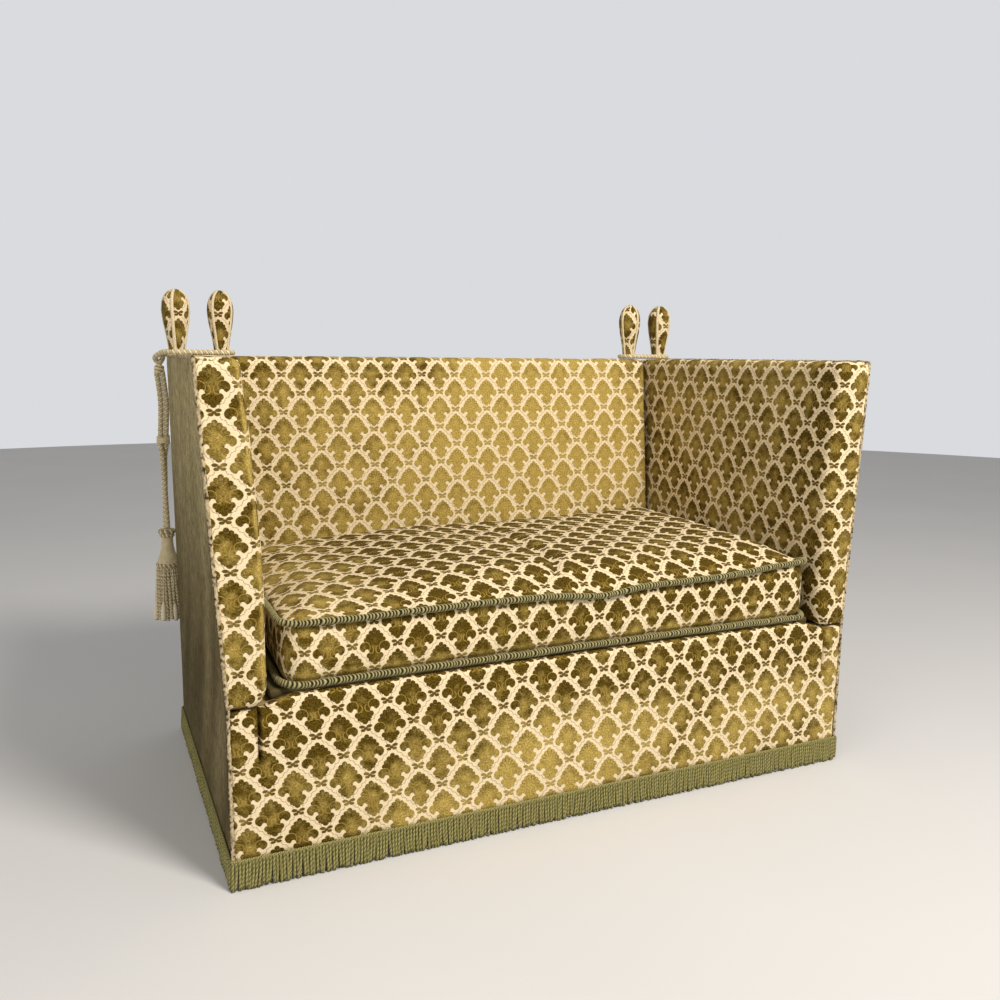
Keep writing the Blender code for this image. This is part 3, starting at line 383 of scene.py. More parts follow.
def light_studio():
    lamp("key lamp", (0.9, -3.1, 3.65), (0.0, 0.0, 0.5), 1.3, 187, "#FFF6E9")
    lamp("fill lamp", (-3.2, -2.0, 2.2), (0.0, 0.0, 0.5), 2.4, 34, "#FBF3E6")
    world = bpy.data.worlds.new("studio")
    bpy.context.scene.world = world
    world.use_nodes = True
    WORK["tree"] = world.node_tree
    world.node_tree.nodes.clear()
    path = add("LightPath").node
    seen = add("Math.MAXIMUM", path.outputs["Is Camera Ray"], path.outputs["Is Glossy Ray"])
    seen = add("Math.MAXIMUM", seen, path.outputs["Is Transmission Ray"])
    soft = add("Background", "#F6F3EE", 0.42)
    pale = add("Background", "#D9DBDF", 1.0)
    both = add("MixShader", seen, soft, pale)
    add("OutputWorld", both)
    deselect()
    bpy.ops.mesh.primitive_circle_add(vertices=96, radius=9, fill_type="NGON")
    floor = bpy.context.object
    floor.name = "studio_floor"
    floor.data.materials.append(MATERIALS["studio_floor"])


# ---------------------------------------------------------------- materials

def linear(code):
    """An sRGB hex colour as linear values."""
    parts = [int(code[i:i + 2], 16) / 255 for i in (1, 3, 5)]
    return (*[c / 12.92 if c <= 0.04045 else ((c + 0.055) / 1.055) ** 2.4 for c in parts], 1.0)


MATERIALS = {}
WORK = {"tree": None, "shader": None}    # the nodes in hand


def add(kind, *values, out=0, **named):
    """Adds a node to the tree in hand, and gives one of its outputs. kind may end in the node's mode, as
    in Math.ADD. Values go to its sockets in order, or by their capitalised names. Other names are
    settings. A Mix always mixes colours."""
    kind, _, mode = kind.partition(".")
    node = WORK["tree"].nodes.new("ShaderNode" + kind)
    sockets = dict(enumerate(values))
    if kind == "Mix":
        node.data_type, out = "RGBA", 2
        sockets = dict(zip((0, 6, 7), values))
    elif mode:
        setattr(node, "interpolation_type" if kind == "MapRange" else "operation", mode)
    for key, value in named.items():
        if key[0].isupper():
            sockets[key] = value
        else:
            setattr(node, key, value)
    for key, value in sockets.items():
        if isinstance(value, bpy.types.NodeSocket):
            WORK["tree"].links.new(value, node.inputs[key])
        else:
            node.inputs[key].default_value = linear(value) if isinstance(value, str) else value
    return node.outputs[out] if node.outputs else None


def feed(socket, value):
    """Links a value to the shader in hand."""
    WORK["tree"].links.new(value, WORK["shader"].inputs[socket])


def new_finish(name, roughness, metallic=0.0, gloss=0.5, sheen=0.0):
    """A material with one shader, whose plain values are set on its sockets. Cloth has little gloss."""
    material = MATERIALS[name] = bpy.data.materials.new(name)
    material.use_nodes = True
    WORK["tree"] = material.node_tree
    shader = WORK["shader"] = material.node_tree.nodes["Principled BSDF"]
    for socket, value in (("Roughness", roughness), ("Metallic", metallic), ("Sheen Weight", sheen),
                          ("Specular IOR Level", gloss)):
        shader.inputs[socket].default_value = value


# Half of a palmette, in mm from the middle of its cell: the middle, across and up, and the radii of each
# rounded lobe. The fan comes first, then the volute, the waist and the bud.
PALMETTE = ((0.0, 31.6, 5.0, 5.2), (7.7, 25.9, 5.2, 5.1), (14.0, 19.0, 5.4, 5.2), (18.8, 11.2, 5.2, 5.0),
            (0.0, 8.5, 16.5, 18.5), (21.5, -3.2, 11.6, 10.6), (0.0, -11.0, 12.5, 11.0),
            (12.4, -21.4, 6.2, 6.0), (7.6, -29.4, 6.6, 6.4), (0.0, -34.6, 6.0, 6.2), (0.0, -24.0, 13.0, 10.0))
VOLUTE, BUD = 5, 10    # their places in that list
CELL_HALF = 49.25    # from a cell's middle to its side or its top, in mm
BAND_SPACING = 68.0    # from band to band, in mm
# The cream hook that turns up under each volute, and the petals of the small floret on each crossing
HOOK = ((17.2, -11.6, 4.1, 3.9), (21.2, -17.0, 3.3, 5.4))
FLORET = ((7.6, 3.5, 5.4, 3.2), (5.8, -3.8, 4.7, 3.0), (0.0, 0.0, 4.2, 2.9))


def oval(here, cx, cy, rx, ry):
    """How far a point lies from the middle of an oval, as a share of its radii."""
    scaled = add("VectorMath.MULTIPLY_ADD", here, (1 / rx, 1 / ry, 0.0), (-cx / rx, -cy / ry, 0.0))
    return add("VectorMath.LENGTH", scaled, out=1)


def cut_moquette():
    """Cut moquette: a dense wool pile, cut short, on a cream ribbed ground. The pile stands about
    1.5 mm proud, is matt with a soft sheen, and turns golden where it has worn. The same painted
    value also turns it golden as painted sheen and painted light, and keeps it dark as painted shade."""
    new_finish("cut_moquette", 0.88, sheen=0.02, gloss=0.12)
    weave = add("UVMap", uv_map="weave")
    # The cloth doesn't lie quite straight
    uneven = add("TexNoise", Vector=weave, Scale=9.0, Detail=1.0, out=1)
    shift = add("VectorMath.SUBTRACT", uneven, (0.5, 0.5, 0.5))
    place = add("VectorMath.MULTIPLY_ADD", shift, (0.006, 0.006, 0.0), weave)
    place = add("VectorMath.MULTIPLY", place, (1 / REPEAT_WIDTH, 1 / REPEAT_HEIGHT, 0.0))
    split = add("SeparateXYZ", place).node.outputs
    across, up = split[0], split[1]
    # The bands bow upwards between their crossings
    bow = add("Math.SINE", add("Math.MULTIPLY", across, 2 * math.pi))
    bow = add("Math.MULTIPLY", add("Math.ABSOLUTE", bow), 0.010)
    level = add("Math.SUBTRACT", up, bow)
    one = add("Math.ADD", across, level)
    two = add("Math.SUBTRACT", across, level)
    cell = add("Math.FRACT", one), add("Math.FRACT", two)
    # Across and up from the middle of the cell, in mm
    x = add("Math.ADD", add("Math.ADD", *cell), -1.0)
    aside = add("Math.ABSOLUTE", add("Math.MULTIPLY", x, CELL_HALF))
    y = add("Math.MULTIPLY", add("Math.SUBTRACT", *cell), CELL_HALF)
    y = add("Math.MULTIPLY_ADD", bow, 2 * CELL_HALF, y)
    here = add("CombineXYZ", aside, y, 0.0)
    # Distance from each band's middle line: as a share of the repeat, and in mm with a serrated edge
    shares, gaps, threads = [], [], []
    for along, over in ((one, two), (two, one)):
        share = add("Math.FRACT", add("Math.ADD", along, 0.5))
        share = add("Math.ADD", share, -0.5)
        shares.append(share)
        offset = add("Math.MULTIPLY", share, BAND_SPACING)
        # Waves along the band: its teeth, and the thread's bends and breaks
        teeth, bends, breaks = (
            add(kind, add("Math.MULTIPLY", over, 2 * math.pi * turns))
            for kind, turns in (("Math.SINE", 9), ("Math.SINE", 5), ("Math.COSINE", 15)))
        gaps.append(add("Math.MULTIPLY_ADD", teeth, 0.9, add("Math.ABSOLUTE", offset)))
        thread = add("Math.ABSOLUTE", add("Math.MULTIPLY_ADD", bends, 1.3, offset))
        threads.append(add("Math.ADD", thread, add("MapRange", breaks, -0.2, -0.8, 0.0, 0.7)))
    band = add("Math.MINIMUM", *gaps)
    thread = add("MapRange.SMOOTHSTEP", add("Math.MINIMUM", *threads), 1.6, 0.5, 0.0, 0.8)
    # The palmette is the nearest of its lobes, with the hooks and the bands kept clear of it
    lobes = [add("Math.MULTIPLY_ADD", oval(here, *lobe), sum(lobe[2:]) / 2, -sum(lobe[2:]) / 2)
             for lobe in PALMETTE]
    hooks = [add("Math.MULTIPLY_ADD", oval(here, *lobe), -sum(lobe[2:]) / 2, sum(lobe[2:]) / 2)
             for lobe in HOOK]
    near = lobes[0]
    for lobe in lobes[1:]:
        near = add("Math.MINIMUM", near, lobe)
    near = add("Math.MAXIMUM", near, add("Math.MAXIMUM", *hooks))
    near = add("Math.MAXIMUM", near, add("Math.MULTIPLY_ADD", band, -1.0, 2.9))
    fray = add("TexNoise", Vector=weave, Scale=700.0, Detail=1.0)
    near = add("Math.MULTIPLY_ADD", fray, 1.6, near)
    palmette = add("MapRange.SMOOTHSTEP", near, 1.4, 0.2)
    # The floret on each crossing
    x = add("Math.ABSOLUTE", add("Math.MULTIPLY", add("Math.ADD", *shares), CELL_HALF))
    spot = add("CombineXYZ", x, add("Math.MULTIPLY", add("Math.SUBTRACT", *shares), CELL_HALF), 0.0)
    floret = oval(spot, *FLORET[0])
    for petal in FLORET[1:]:
        floret = add("Math.MINIMUM", floret, oval(spot, *petal))
    floret = add("MapRange.SMOOTHSTEP", floret, 1.18, 0.85)
    # Gold lines inside the palmette: round the volutes, in at the waist, and over the bud's shoulders
    rim = add("Math.ADD", add("Math.ABSOLUTE", lobes[VOLUTE]), add("MapRange", aside, 24.0, 28.0, 0.0, 8.0))
    arch = add("Math.ADD", add("Math.ABSOLUTE", lobes[BUD]), add("MapRange", y, -18.0, -22.0, 0.0, 8.0))
    arch = add("Math.ADD", arch, add("MapRange", aside, 5.5, 3.5, 0.0, 8.0))
    level = add("Math.ADD", y, 9.0)
    waist = add("Math.MULTIPLY_ADD", add("Math.MULTIPLY", level, level), -0.055, aside)
    waist = add("Math.ABSOLUTE", add("Math.ADD", waist, -2.4))
    beyond = add("MapRange", add("Math.ABSOLUTE", level), 8.0, 12.0, 0.0, 8.0)
    waist = add("Math.MULTIPLY_ADD", waist, 0.75, beyond)
    drawn = add("Math.MINIMUM", add("Math.MINIMUM", rim, arch), waist)
    drawn = add("MapRange.SMOOTHSTEP", drawn, 1.25, 0.35)
    # Dark veins run in between the lobes of the fan
    fan = add("VectorMath.SUBTRACT", here, (0.0, 8.0, 0.0))
    reach = add("MapRange", add("VectorMath.LENGTH", fan, out=1), 6.0, 14.0)
    fan = add("SeparateXYZ", fan).node.outputs
    turn = add("Math.MULTIPLY", add("Math.ARCTAN2", fan[0], fan[1]), 13.85)
    vein = add("MapRange.SMOOTHSTEP", add("Math.COSINE", turn), -0.45, -0.95)
    upper = add("MapRange", y, 5.0, 9.0, 0.0, 0.55)
    vein = add("Math.MULTIPLY", add("Math.MULTIPLY", vein, reach), upper)
    # The middle of the fan and the waist is brushed lighter than the lobes round it
    middle = add("MapRange.SMOOTHSTEP", oval(here, 0.0, -3.0, 11.0, 17.0), 1.5, 0.3)
    # Pile colours, from dark to golden. The painted value moves the pile along them: wear, and also painted
    # light (painted sheen low on the front border, a painted patch of light on the back) and painted shade
    # (the right arm's inner face).
    wear_and_light = add("Attribute", attribute_name="wear_and_light", out=2)
    brush = add("TexNoise", Vector=weave, Scale=13.0, Detail=4.0, Roughness=0.62)
    brush = add("Math.MULTIPLY_ADD", middle, 0.30, add("MapRange", brush, 0.32, 0.68, -0.30, 0.30))
    kept = add("TexNoise", Vector=weave, Scale=62.0, Detail=2.0)
    brush = add("Math.ADD", brush, add("MapRange", kept, 0.35, 0.65, 0.15, -0.27))
    gold_share = add("Math.ADD", wear_and_light, brush, use_clamp=True)
    tuft = add("TexNoise", Vector=weave, Scale=300.0, Detail=3.0, Roughness=0.7)
    tuft = add("MapRange", tuft, 0.36, 0.64)
    dark_pile = add("Mix", tuft, "#2A1E00", "#6C5610")
    golden_pile = add("Mix", tuft, "#8E7530", "#D0B768")
    pile = add("Mix", vein, add("Mix", gold_share, dark_pile, golden_pile), "#3E2E08")
    drawn = add("Math.MULTIPLY", drawn, add("MapRange", gold_share, 0.0, 1.0, 0.62, 0.55))
    pile = add("Mix", drawn, pile, add("Mix", gold_share, "#B59748", "#8A7433"))
    # The ribbed cream ground, its thin wavy thread, and the florets
    rib = add("TexNoise", Vector=weave, Scale=260.0, Detail=1.0)
    ground = add("Mix", thread, add("Mix", rib, "#DEC89A", "#F7E8C8"), "#A08878")
    ground = add("Mix", floret, ground, add("Mix", gold_share, "#5C4812", "#B09850"))
    feed("Base Color", add("Mix", palmette, ground, pile))
    # The pile stands above the ground, and its tufts are uneven
    stand = add("Math.MULTIPLY_ADD", tuft, 0.3, add("Math.MAXIMUM", palmette, floret))
    feed("Normal", add("Bump", Strength=0.7, Distance=0.0018, Height=stand))


FLOAT_SPACING = (0.0058, 0.018)    # of the dark floats in the plain cover, across and up


def plain_ribbed_cover():
    """Plain worsted cover cloth: a matt olive weave with dark warp floats, 3 mm wide and 16 mm long."""
    new_finish("plain_ribbed_cover", 0.9, gloss=0.12)
    weave = add("UVMap", uv_map="weave")
    sway = add("TexNoise", Vector=weave, Scale=22.0, Detail=1.0, out=1)
    sway = add("VectorMath.SUBTRACT", sway, (0.5, 0.5, 0.5))
    place = add("VectorMath.MULTIPLY_ADD", sway, (0.004, 0.0, 0.0), weave)
    split = add("SeparateXYZ", place).node.outputs
    column = add("Math.DIVIDE", split[0], FLOAT_SPACING[0])
    count = add("Math.FLOOR", column)
    start = add("TexWhiteNoise", W=count, noise_dimensions="1D")
    row = add("Math.MULTIPLY_ADD", start, 7.0, add("Math.DIVIDE", split[1], FLOAT_SPACING[1]))
    here = add("CombineXYZ", count, add("Math.FLOOR", row), 0.0)
    chance = add("TexWhiteNoise", Vector=here, noise_dimensions="2D")
    chance = add("MapRange", chance, 0.50, 0.75, 0.0, 0.88)
    inside = add("Math.SUBTRACT", add("Math.FRACT", column), 0.5)
    inside = add("MapRange.SMOOTHSTEP", add("Math.ABSOLUTE", inside), 0.36, 0.18)
    end = add("Math.SUBTRACT", add("Math.FRACT", row), 0.5)
    end = add("MapRange.SMOOTHSTEP", add("Math.ABSOLUTE", end), 0.5, 0.4)
    dash = add("Math.MULTIPLY", add("Math.MULTIPLY", inside, end), chance)
    broad = add("TexNoise", Vector=weave, Scale=3.0, Detail=4.0, Roughness=0.6)
    broad = add("MapRange", broad, 0.3, 0.7)
    base = add("Mix", broad, "#AC9E6F", "#D0C394")
    drawn_out = add("VectorMath.MULTIPLY", weave, (1.0, 0.22, 1.0))
    fibre = add("TexNoise", Vector=drawn_out, Scale=420.0, Detail=3.0)
    fibre = add("MapRange", fibre, 0.34, 0.66, 0.0, 0.52)
    base = add("Mix", fibre, base, "#685730")
    worked = add("TexNoise", Vector=weave, Scale=46.0, Detail=5.0, Roughness=0.8)
    worked = add("MapRange", worked, 0.40, 0.66, 0.0, 0.34)
    base = add("Mix", worked, base, "#5A4A26")
    # The painted value darkens the cloth: towards the bottom, along the front edge of the outer sides, and in
    # streaks.
    base = add("Mix", add("Attribute", attribute_name="wear_and_light", out=2), base, "#483B1C")
    feed("Base Color", add("Mix", dash, base, "#2A1F0B"))
    feed("Normal", add("Bump", Strength=0.5, Distance=0.0006, Height=add("Math.ADD", dash, fibre)))


def yarn(name, light, dark, fleck, fleck_share, pitch, depth=0.25):
    """Twisted or gathered yarn. A painted value darkens it: painted shade in the hollows between its
    turns, and, on some cords, darker strands and worn spots. Finer plies cross it at the given pitch,
    with painted shade in their hollows."""
    new_finish(name, 0.88, gloss=0.12)
    shade_and_tone = add("Attribute", attribute_name="shade_and_tone", out=2)
    weave = add("UVMap", uv_map="weave")
    split = add("SeparateXYZ", weave).node.outputs
    ply = add("Math.MULTIPLY", add("Math.ADD", split[0], split[1]), 2 * math.pi / pitch)
    ply = add("MapRange", add("Math.SINE", ply), -1.0, 1.0)
    place = add("TexCoord", out=3)
    mottle = add("MapRange", add("TexNoise", Vector=place, Scale=90.0, Detail=3.0), 0.35, 0.65)
    speck = add("TexNoise", Vector=place, Scale=210.0, Detail=1.0)
    speck = add("MapRange", speck, 0.60, 0.66, 0.0, fleck_share)
    colour = add("Mix", 0.25, light, add("Mix", mottle, light, fleck))
    shade = add("Math.ADD", add("Math.MULTIPLY_ADD", ply, -depth, depth), shade_and_tone, use_clamp=True)
    colour = add("Mix", speck, colour, fleck)
    feed("Base Color", add("Mix", shade, colour, dark))
    height = add("Math.MULTIPLY_ADD", mottle, 0.3, ply)
    feed("Normal", add("Bump", Strength=0.5, Distance=0.0004, Height=height))


def oak_frame():
    """Sawn and planed beech and oak rails: pale brown, open grain along Z or X, dry and unvarnished."""
    new_finish("oak_frame", 0.62)
    place = add("TexCoord", out=3)
    stretched = add("Mapping", Vector=place, Scale=(6.0, 14.0, 60.0))
    grain = add("TexNoise", Vector=stretched, Scale=3.0, Detail=6.0, Roughness=0.65)
    grain = add("MapRange", grain, 0.3, 0.7)
    feed("Base Color", add("Mix", grain, "#8A6238", "#C49A63"))
    feed("Roughness", add("MapRange", grain, 0.0, 1.0, 0.72, 0.52))
    feed("Normal", add("Bump", Strength=0.3, Distance=0.0004, Height=grain))


def metal(name, light, dark, roughness, rust):
    """Rolled iron or drawn steel: grey, with a mottled skin and some rust in it."""
    new_finish(name, roughness, metallic=1.0)
    place = add("TexCoord", out=3)
    skin = add("MapRange", add("TexNoise", Vector=place, Scale=60.0, Detail=5.0), 0.35, 0.65)
    colour = add("Mix", skin, dark, light)
    spots = add("MapRange", add("TexNoise", Vector=place, Scale=25.0, Detail=4.0), 0.55, 0.7, 0.0, rust)
    feed("Base Color", add("Mix", spots, colour, "#5A3A22"))
    feed("Roughness", add("MapRange", skin, 0.0, 1.0, roughness + 0.15, roughness))


def plain_weave(name, light, dark, thread):
    """A plain weave whose threads cross every thread metres, drawn coarser than the real cloth's
    where that would be too fine to show."""
    new_finish(name, 0.93, gloss=0.15)
    place = add("TexCoord", out=3)
    split = add("SeparateXYZ", place).node.outputs
    waves = []
    for kind, one, two in (("Math.ADD", 0, 1), ("Math.SUBTRACT", 1, 2)):
        way = add(kind, split[one], split[two])
        way = add("Math.MULTIPLY", way, 2 * math.pi / thread)
        waves.append(add("Math.SINE", way))
    weave = add("MapRange", add("Math.MULTIPLY", *waves), -1.0, 1.0)
    slub = add("MapRange", add("TexNoise", Vector=place, Scale=70.0, Detail=4.0), 0.3, 0.7, -0.2, 0.2)
    mix = add("Math.ADD", weave, slub, use_clamp=True)
    feed("Base Color", add("Mix", mix, dark, light))
    feed("Normal", add("Bump", Strength=0.4, Distance=0.0004, Height=weave))


def studio_floor():
    """A plain pale studio floor, matt paint."""
    new_finish("studio_floor", 0.9)
    place = add("TexCoord", out=3)
    cloud = add("TexNoise", Vector=place, Scale=1.2, Detail=2.0)
    feed("Base Color", add("Mix", cloud, "#D2D3D6", "#DADBDE"))


def make_materials():
    cut_moquette()
    plain_ribbed_cover()
    yarn("bullion_fringe", "#A8A166", "#1C1806", "#B9B27C", 0.4, 0.0094, depth=0.52)
    yarn("ruched_trim_cord", "#BBB383", "#1E1905", "#9A945E", 0.3, 0.0016, depth=0.08)
    yarn("tie_cord", "#F4E6C0", "#4A3C17", "#B9A770", 0.35, 0.0026, depth=0.08)
    yarn("cream_braid", "#F2E2C0", "#8A7548", "#DCC89C", 0.4, 0.0020, depth=0.14)
    yarn("tuft_wool", "#FBF3DE", "#A08C62", "#EBDDBB", 0.3, 0.0020, depth=0.10)
    yarn("worn_piping", "#EAD9B2", "#3E2F14", "#CBB084", 0.8, 0.0024)
    oak_frame()
    metal("hinge_iron", "#6A6864", "#3A3937", 0.45, 0.5)
    metal("spring_steel", "#A3A19C", "#6E6C67", 0.32, 0.25)
    plain_weave("jute_webbing", "#B79E70", "#8A7145", 0.0042)
    plain_weave("hessian", "#BFA878", "#8F7748", 0.0036)
    plain_weave("dust_cloth", "#2A2927", "#171615", 0.0030)
    # The lining is painted darker than its own colour, as painted shade in the gap round the cushion.
    plain_weave("deck_lining_painted_shade", "#665D3C", "#474026", 0.0034)
    studio_floor()


# ---------------------------------------------------------------- cords

def point_at(points, i, closed):
    """The point at a place in a run that goes round, or that stops at both ends."""
    return points[i % len(points) if closed else min(max(i, 0), len(points) - 1)]


def smooth_route(anchors, step, closed=False):
    """Evenly spaced points on a smooth curve through given anchors."""
    anchors = [Vector(a) for a in anchors]
    dense = []
    for i in range(len(anchors) - (not closed)):
        before, one, two, after = (point_at(anchors, i + k, closed) for k in (-1, 0, 1, 2))
        for j in range(12):
            t = j / 12
            dense.append(0.5 * (2 * one + (two - before) * t
                                + (2 * before - 5 * one + 4 * two - after) * t * t
                                + (3 * one - before - 3 * two + after) * t ** 3))
    dense.append(anchors[0] if closed else anchors[-1])
    return even_points(dense, step, closed)


def even_points(dense, step, closed):
    """Points at equal steps along a fine run of points."""
    lengths = [0.0]
    for one, two in zip(dense, dense[1:]):
        lengths.append(lengths[-1] + (two - one).length)
    wanted = max(4, round(lengths[-1] / step))
    points = []
    at = 0
    for i in range(wanted + (not closed)):
        goal = lengths[-1] * i / wanted
        while at < len(lengths) - 2 and lengths[at + 1] < goal:
            at += 1
        span = lengths[at + 1] - lengths[at]
        points.append(dense[at].lerp(dense[at + 1], min((goal - lengths[at]) / span if span else 0.0, 1.0)))
    return points


def route_length(points):
    return sum((two - one).length for one, two in zip(points, points[1:]))


def sweep(name, points, radius_at, sides, closed=False, lead=None):
    """A closed skin round a run of points. radius_at(angle, distance) gives the radius there and how
    dark it is painted, from 0 to 1: painted shade that deepens in the hollows, and darker strands and
    worn spots where a cord has them."""
    count = len(points)
    ways = [(point_at(points, i + 1, closed) - point_at(points, i - 1, closed)).normalized()
            for i in range(count)]
    normal = Vector(lead) if lead else ways[0].orthogonal()
    normals = []
    for way in ways:
        normal = (normal - way * normal.dot(way)).normalized()
        normals.append(normal.copy())
    twist = 0.0
    if closed:
        last = (normals[-1] - ways[0] * normals[-1].dot(ways[0])).normalized()
        twist = math.atan2(last.cross(normals[0]).dot(ways[0]), last.dot(normals[0]))
    spots, shades_and_tones, charts = [], [], []
    travelled = 0.0
    total = route_length(points) + ((points[0] - points[-1]).length if closed else 0.0)
    for i, (point, way, normal) in enumerate(zip(points, ways, normals)):
        if i:
            travelled += (point - points[i - 1]).length
        other = way.cross(normal)
        for j in range(sides):
            angle = 2 * math.pi * j / sides
            radius, shade_and_tone = radius_at(angle, travelled)
            turned = angle + twist * travelled / total
            spots.append(point + normal * math.cos(turned) * radius + other * math.sin(turned) * radius)
            shades_and_tones.append(shade_and_tone)
            charts.append((angle * CHART_RADIUS, travelled))
    faces = []
    for i in range(count - (not closed)):
        n = (i + 1) % count
        for j in range(sides):
            k = (j + 1) % sides
            faces.append((i * sides + j, i * sides + k, n * sides + k, n * sides + j))
    if not closed:
        faces.append(tuple(reversed(range(sides))))
        faces.append(tuple(range((count - 1) * sides, count * sides)))
    mesh = bpy.data.meshes.new(name)
    mesh.from_pydata(spots, [], faces)
    obj = new_object(name, mesh)
    paint(obj, "shade_and_tone", shades_and_tones)
    lay_weave(mesh, lambda i: charts[i])
    pick(obj)
    bpy.ops.object.shade_smooth()
    return obj


def rope(radius, strands, pitch, depth=0.22, tone=0.0):
    """The section of a rope of round strands, laid round each other once in each pitch. Every second
    strand is darker by tone."""
    def radius_at(angle, distance):
        turn = strands * (angle / 2 - math.pi * distance / pitch)
        hollow = 1 - abs(math.cos(turn))
        dark = tone if round(turn / math.pi) % 2 else 0.0
        # The hollows between the strands are painted shade; every second strand is darker in its own colour.
        return radius * (1.06 - depth * hollow * hollow), min(1.0, 0.9 * hollow ** 3 + dark)
    return radius_at


tie_rope_section = rope(TIE_RADIUS, 3, 0.0195, 0.26, 0.30)


def arc(centre, radius, start_degrees, end_degrees, steps):
    points = []
    for i in range(steps + 1):
        angle = math.radians(blend(start_degrees, end_degrees, i / steps))
        points.append((centre[0] + radius * math.cos(angle), centre[1] + radius * math.sin(angle)))
    return points


def tie_loop_route(side):
    """From the knot behind, past both finials, round the back one, and down to the knot again."""
    reach = FINIAL_NECK_RADIUS + TIE_RADIUS + TIE_STANDOFF
    rest = TOP + TIE_RADIUS + TIE_CLEARANCE
    half = TIE_STRAND_SPACING / 2 + TIE_CLEARANCE
    middle = (ARM_FINIAL_X + BACK_FINIAL_X) / 2
    front, rear = FINIAL_Y - reach, FINIAL_Y + reach
    top_of_knot = KNOT_LEVEL + KNOT_RADIUS + TIE_RADIUS - LOOP_END_REACH
    anchors = [
        (KNOT_X, KNOT_Y, top_of_knot),
        (KNOT_X - half, KNOT_Y, top_of_knot + half),
        (KNOT_X - half * 2, REAR + TIE_RADIUS, rest),
        (ARM_FINIAL_X, rear, rest),
        (middle, rear, rest),
        *[(-x, y, rest) for x, y in arc((-BACK_FINIAL_X, FINIAL_Y), reach, 90, -90, 6)],
        (middle, front, rest),
        (ARM_FINIAL_X, front, rest),
        (ARM_FINIAL_X + reach * 0.8, FINIAL_Y - reach * 0.55, rest),
        (SIDE + TIE_RADIUS + half, FINIAL_Y + reach * 0.25, rest),
        (KNOT_X + half, REAR + TIE_RADIUS / 2, TOP - TIE_RADIUS / 2),
        (KNOT_X + half, KNOT_Y, top_of_knot + half),
    ]
    return [(side * x, y, z) for x, y, z in anchors]


def tail_route(side, offset):
    """One of the two strands from the knot down to the tassel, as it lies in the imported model."""
    strand_top = KNOT_LEVEL - KNOT_RADIUS / 2
    half = TIE_STRAND_SPACING / 2
    anchors = [
        (KNOT_X + offset, KNOT_Y, strand_top),
        (KNOT_X - half + offset * 1.2, blend(KNOT_Y, TASSEL_Y, 0.1), blend(strand_top, TASSEL_TOP, 0.2)),
        (TASSEL_X + offset, blend(KNOT_Y, TASSEL_Y, 0.35), blend(strand_top, TASSEL_TOP, 0.45)),
        (TASSEL_X + offset, blend(KNOT_Y, TASSEL_Y, 0.8), blend(strand_top, TASSEL_TOP, 0.7)),
        (TASSEL_X + offset, TASSEL_Y, TASSEL_TOP + 0.05),
        (TASSEL_X + offset, TASSEL_Y, TASSEL_TOP),
    ]
    return [(side * x, y, z) for x, y, z in anchors]


def make_tie_loop(side):
    """The loop round both finials: one rope, that comes out of the knot and goes back into it."""
    word = side_name(side)
    points = smooth_route(tie_loop_route(side), 0.0012, closed=True)
    loop = sweep(f"tie_rope_loop_{word}", points, tie_rope_section, 12, closed=True)
    finish(loop, "tie_cord", "root", [f"tie_loop_{word}"])
    path = smooth_route(tie_loop_route(side), 0.013, closed=True)
    path = path + [path[0]]
    tuple(path[0])
    route_length(path)
    [tuple(p) for p in path]
    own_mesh(loop)


def make_knot(side):
    """The round knot that draws the loop together, in turns of the same rope."""
    place = Vector((side * KNOT_X, KNOT_Y, KNOT_LEVEL))
    deselect()
    bpy.ops.mesh.primitive_uv_sphere_add(segments=36, ring_count=24, radius=KNOT_RADIUS,
                                         location=place)
    knot = bpy.context.object
    knot.name = f"tie_knot_{side_name(side)}"
    bpy.ops.object.transform_apply()
    shade_and_tone = []
    for vertex in knot.data.vertices:
        out = vertex.co - place
        turn = math.atan2(out.y, out.x) + out.z / KNOT_RADIUS * 4.4
        # The hollows between its turns are sunk, and darkened as painted shade.
        hollow = (1 - abs(math.sin(turn))) ** 2
        shade_and_tone.append(hollow)
        vertex.co = vertex.co + out * (0.06 - 0.24 * hollow)
    lay_weave(knot.data, lambda i: knot.data.vertices[i].co.xz)
    paint(knot, "shade_and_tone", shade_and_tone)
    pick(knot)
    bpy.ops.object.shade_smooth()
    return finish(knot, "tie_cord", f"tie_{side_name(side)}", [f"tie_tail_{side_name(side)}"])


